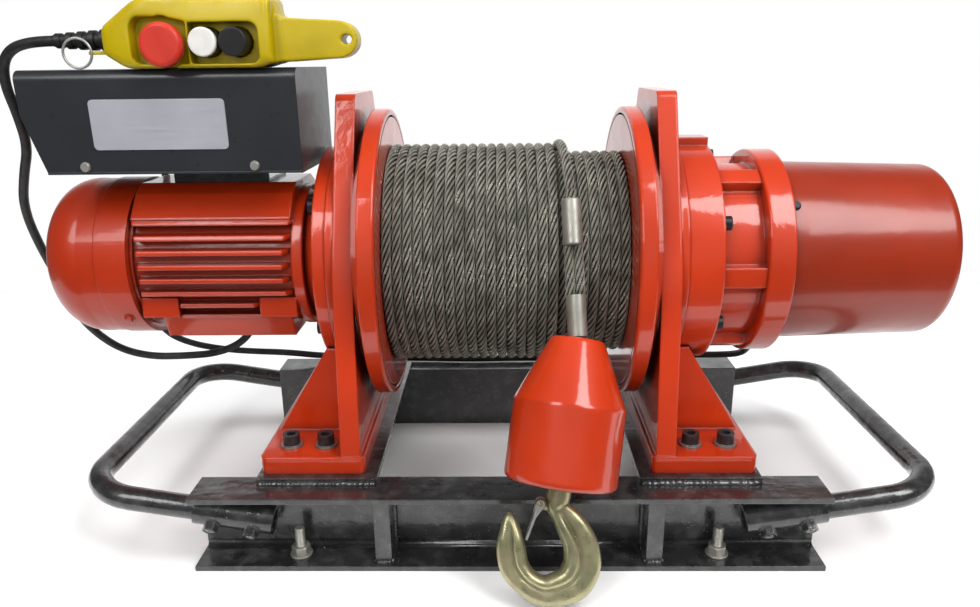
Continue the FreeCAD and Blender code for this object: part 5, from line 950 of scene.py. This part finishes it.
# Cables
def cable(name, route, diameter, node):
    """A free cable along its route, from gland to gland."""
    curve = bpy.data.curves.new(name, "CURVE")
    curve.dimensions = "3D"
    curve.bevel_depth = diameter / 2
    curve.bevel_resolution = CABLE_ROUNDNESS
    curve.resolution_u = CABLE_STEPS
    curve.use_fill_caps = True
    spline = curve.splines.new("NURBS")
    spline.points.add(len(route) - 1)
    for point, place in zip(spline.points, route):
        point.co = (*(part * MM for part in place), 1.0)
    spline.order_u = 3
    spline.use_endpoint_u = True
    curve.materials.append(FINISHES["cable_rubber"])
    piece = bpy.data.objects.new(name, curve)
    bpy.context.scene.collection.objects.link(piece)
    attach(piece, ROOT)
    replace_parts(piece, node)


# Fittings
def anchor_bolt(heap, base):
    """A stud with its washer and nut, upright on a point."""
    up = (0, 0, 1)
    washer_r, washer_t, edge = ANCHOR_WASHER_R, ANCHOR_WASHER_T, ANCHOR_WASHER_EDGE
    heap.add(*turned([
        (washer_r - edge, 0), (washer_r, edge), (washer_r, washer_t - edge), (washer_r - edge, washer_t),
    ], base, up))
    nut_low, nut_high = washer_t, washer_t + ANCHOR_NUT_H
    heap.add(*turned([
        (NUT_FACE * ANCHOR_NUT_R, nut_low), (ANCHOR_NUT_R, nut_low + ANCHOR_NUT_EDGE),
        (ANCHOR_NUT_R, nut_high - ANCHOR_NUT_EDGE), (NUT_FACE * ANCHOR_NUT_R, nut_high),
    ], base, up, NUT_SIDES, NUT_HEXED_ROWS))
    profile = [(ANCHOR_STUD_R, -ANCHOR_STUD_SINK), (ANCHOR_STUD_R, nut_high)]
    height = nut_high
    while height < nut_high + ANCHOR_STUD_RISE:
        profile.append((ANCHOR_STUD_R, height + 0.25 * THREAD_PITCH))
        profile.append((THREAD_ROOT * ANCHOR_STUD_R, height + 0.75 * THREAD_PITCH))
        height += THREAD_PITCH
    profile.append((STUD_TIP * ANCHOR_STUD_R, height + ANCHOR_TIP_H))
    heap.add(*turned(profile, base, up, STUD_SIDES))


def anchor_bolts():
    """Zinc studs with nut and washers that stand in the rails' lower flanges."""
    heap = Heap()
    for x in (-ANCHOR_X, ANCHOR_X):
        for y in (-ANCHOR_Y, ANCHOR_Y):
            anchor_bolt(heap, (x, y, RAIL_WALL))
    mesh_piece("anchor_bolts", heap.points, heap.faces, "zinc", ROOT, smooth=False, finish="swaged_sleeve")


def cowl_skirt():
    """The fan cowl's skirt, a thin band with a rolled edge, and the painted screw that holds it."""
    low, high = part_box("fan_cowl")
    radius = (high.z - low.z) / 2
    inner, outer = radius - SKIRT_OVERLAP, radius + SKIRT_T
    points, faces = turned([
        (inner, -SKIRT_LENGTH), (outer - SKIRT_EDGE[0], -SKIRT_LENGTH),
        (outer, -SKIRT_LENGTH + SKIRT_EDGE[1]), (outer, 0), (inner, 0),
    ], (high.x, 0, AXIS_Z), (1, 0, 0), SKIRT_SIDES)
    heap = Heap()
    heap.add(points, [face for face in faces if len(face) == 4])
    turn = math.radians(COWL_SCREW_FALL)
    outward = Vector((0, -math.cos(turn), -math.sin(turn)))
    base = Vector((high.x - COWL_SCREW_INSET, 0, AXIS_Z)) + outward * (radius - COWL_SCREW_SINK)
    heap.add(*turned(COWL_SCREW, base, outward, COWL_SCREW_SIDES, COWL_SCREW_HEXED_ROWS))
    mesh_piece("cowl_skirt", heap.points, heap.faces, "red_paint", ROOT, smooth=False, finish="cowl_red")


def rail_roots():
    """The rolled fillets between web and flanges of the rails."""
    heap = Heap()
    for name, facing in (("front_rail", -1), ("rear_rail", 1)):
        low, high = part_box(name)
        web = high.y - RAIL_WALL if facing < 0 else low.y + RAIL_WALL
        for wall, rise in ((low.z + RAIL_WALL, 1), (high.z - RAIL_WALL, -1)):
            section = [(web, wall)]
            for k in range(ROOT_STEPS + 1):
                turn = 0.5 * math.pi * k / ROOT_STEPS
                y = web + facing * ROOT_R * (1 - math.cos(turn))
                section.append((y, wall + rise * ROOT_R * (1 - math.sin(turn))))
            ends = (low.x + ROOT_INSET, high.x - ROOT_INSET)
            points = [Vector((x, y, z)) for x in ends for y, z in section]
            heap.add(points, capped_faces(2, len(section)))
    mesh_piece("rail_roots", heap.points, heap.faces, "black_paint", ROOT)


def weld_bead(heap, start, end, radius, seed):
    """A run of overlapping weld scales between two points."""
    dice = random.Random(seed)
    start, end = Vector(start), Vector(end)
    along = (end - start).normalized()
    across = along.orthogonal().normalized()
    up = along.cross(across)
    length = (end - start).length
    sections = int(length / (WELD_STEP * radius)) + 2
    points = []
    sway = 0.0
    for k in range(sections):
        share = k / (sections - 1)
        sway = WELD_SWAY_KEPT * sway + dice.uniform(-WELD_SWAY, WELD_SWAY)
        scale = WELD_MEAN + WELD_RIPPLE * abs(math.sin(WELD_RIPPLE_TURN * k)) + WELD_SWAY_SHARE * sway
        taper = min(1.0, WELD_END + WELD_TAPER * min(share, 1 - share) * length / (WELD_TAPER_RUN * radius))
        for m in range(WELD_SIDES):
            turn = 2 * math.pi * m / WELD_SIDES
            reach = radius * scale * taper * dice.uniform(*WELD_ROUGH)
            outward = across * math.cos(turn) + up * math.sin(turn)
            points.append(start + along * (length * share) + outward * reach)
    heap.add(points, capped_faces(sections, WELD_SIDES))


def welds():
    """Beads where the cross plates lie on the rails and where the stiffeners stand in them."""
    heap = Heap()
    low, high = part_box("cross_plates")
    rail_low, rail_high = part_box("front_rail")
    for side in (-1, 1):
        left, right = sorted((side * CROSS_INNER, side * high.x))
        for y in (low.y, high.y):
            seed = int(1000 * (high.x + side + y))
            weld_bead(heap, (left, y, rail_high.z), (right, y, rail_high.z), CROSS_WELD_R, seed)
    foot, head = rail_low.z + RAIL_WALL, rail_high.z - RAIL_WALL
    root, tip = rail_high.y - RAIL_WALL, rail_low.y + STIFFENER_SETBACK
    for k, middle in enumerate(STIFFENER_X):
        left, right = middle - STIFFENER_HALF, middle + STIFFENER_HALF
        for m, x in enumerate((left, right)):
            weld_bead(heap, (x, root, foot), (x, root, head), STIFFENER_WELD_R, 10 * k + m)
            weld_bead(heap, (x, root, foot), (x, tip, foot), STIFFENER_WELD_R, 10 * k + m + 2)
            weld_bead(heap, (x, root, head), (x, tip, head), STIFFENER_WELD_R, 10 * k + m + 4)
        for m, (z, radius) in enumerate(zip((foot, head), TOE_WELD_R)):
            weld_bead(heap, (left, tip, z), (right, tip, z), radius, 10 * k + m + 6)
    mesh_piece("weld_beads", heap.points, heap.faces, "black_paint", ROOT)


# Stage
def floor():
    """A plain pale floor, round the winch."""
    low, high = FLOOR_FROM, FLOOR_TO
    mesh = bpy.data.meshes.new("floor")
    corners = [(low[0], low[1], 0), (high[0], low[1], 0), (high[0], high[1], 0), (low[0], high[1], 0)]
    mesh.from_pydata(corners, [], [(0, 1, 2, 3)])
    material = bpy.data.materials.new("floor")
    material.use_nodes = True
    surface = material.node_tree.nodes["Principled BSDF"]
    surface.inputs["Base Color"].default_value = rgb(FLOOR_TONE, FLOOR_TONE, FLOOR_TONE)
    surface.inputs["Roughness"].default_value = FLOOR_ROUGHNESS
    mesh.materials.append(material)
    plane = bpy.data.objects.new("floor", mesh)
    bpy.context.scene.collection.objects.link(plane)


def softbox(name, place, aim, width, height, power, mirrored):
    """A rectangular lamp that faces a point, and shows in gloss if asked."""
    lamp = bpy.data.lights.new(name, "AREA")
    lamp.shape = "RECTANGLE"
    lamp.size = width
    lamp.size_y = height
    lamp.energy = power
    holder = bpy.data.objects.new(name, lamp)
    bpy.context.scene.collection.objects.link(holder)
    holder.visible_glossy = mirrored
    holder.location = place
    holder.rotation_euler = (Vector(aim) - Vector(place)).to_track_quat("-Z", "Y").to_euler()


def sky():
    """A white wall behind the object for camera and gloss, and a dim room in front of it for the rest."""
    world = bpy.data.worlds.new("studio")
    bpy.context.scene.world = world
    world.use_nodes = True
    tree = world.node_tree
    tree.nodes.clear()

    def combine(operation, first, second):
        node = tree.nodes.new("ShaderNodeMath")
        node.operation = operation
        tree.links.new(first, node.inputs[0])
        tree.links.new(second, node.inputs[1])
        return node.outputs["Value"]

    def by_depth(low, high):
        node = tree.nodes.new("ShaderNodeMapRange")
        node.interpolation_type = "SMOOTHSTEP"
        limits = {"From Min": WALL_FROM, "From Max": WALL_FULL, "To Min": low, "To Max": high}
        for name, value in limits.items():
            node.inputs[name].default_value = value
        tree.links.new(parts.outputs["Y"], node.inputs["Value"])
        return node.outputs["Result"]

    path = tree.nodes.new("ShaderNodeLightPath").outputs
    place = tree.nodes.new("ShaderNodeTexCoord")
    parts = tree.nodes.new("ShaderNodeSeparateXYZ")
    tree.links.new(place.outputs["Generated"], parts.inputs["Vector"])
    soft = tree.nodes.new("ShaderNodeBackground")
    white = tree.nodes.new("ShaderNodeBackground")
    for back in (soft, white):
        back.inputs["Color"].default_value = rgb(1.0, 1.0, 1.0)
    white.inputs["Strength"].default_value = 1.0
    tree.links.new(by_depth(ROOM_LIGHT, WALL_LIGHT), soft.inputs["Strength"])
    mirrored = combine("MAXIMUM", path["Is Glossy Ray"], path["Is Transmission Ray"])
    seen = combine("MAXIMUM", path["Is Camera Ray"], combine("MULTIPLY", mirrored, by_depth(0.0, 1.0)))
    pick = tree.nodes.new("ShaderNodeMixShader")
    out = tree.nodes.new("ShaderNodeOutputWorld")
    tree.links.new(seen, pick.inputs[0])
    tree.links.new(soft.outputs[0], pick.inputs[1])
    tree.links.new(white.outputs[0], pick.inputs[2])
    tree.links.new(pick.outputs[0], out.inputs["Surface"])


def camera():
    """The photograph's view."""
    pitch, yaw, roll = (math.radians(a) for a in (CAMERA_PITCH, CAMERA_YAW, CAMERA_ROLL))
    ahead = Vector((math.sin(yaw) * math.cos(pitch), math.cos(yaw) * math.cos(pitch), -math.sin(pitch)))
    right = Vector((math.cos(yaw), -math.sin(yaw), 0.0))
    up = right.cross(ahead)
    rolled_right = right * math.cos(roll) + up * math.sin(roll)
    rolled_up = up * math.cos(roll) - right * math.sin(roll)
    lens = bpy.data.cameras.new("photo_camera")
    lens.sensor_width = SENSOR_WIDTH
    lens.lens = CAMERA_FOCAL_PX * SENSOR_WIDTH / PHOTO_WIDTH_PX
    holder = bpy.data.objects.new("photo_camera", lens)
    bpy.context.scene.collection.objects.link(holder)
    turn = Matrix((rolled_right, rolled_up, -ahead)).transposed().to_4x4()
    holder.matrix_world = Matrix.Translation(CAMERA_AT) @ turn
    bpy.context.scene.camera = holder


dress_nodes()
wound_rope()
rope_tail()
eye_ropes()
hook_forging()
handset_moulding()
cable("pendant_cable_sheath", PENDANT_ROUTE, PENDANT_DIAMETER, "pendant_cable")
cable("brake_cable_sheath", BRAKE_ROUTE, BRAKE_CABLE_DIAMETER, "brake_cable")
anchor_bolts()
welds()
rail_roots()
cowl_skirt()
floor()
for lamp_name, lamp_values in LAMPS.items():
    softbox(lamp_name, *lamp_values)
sky()
camera()
bpy.context.scene.view_settings.view_transform = "Standard"
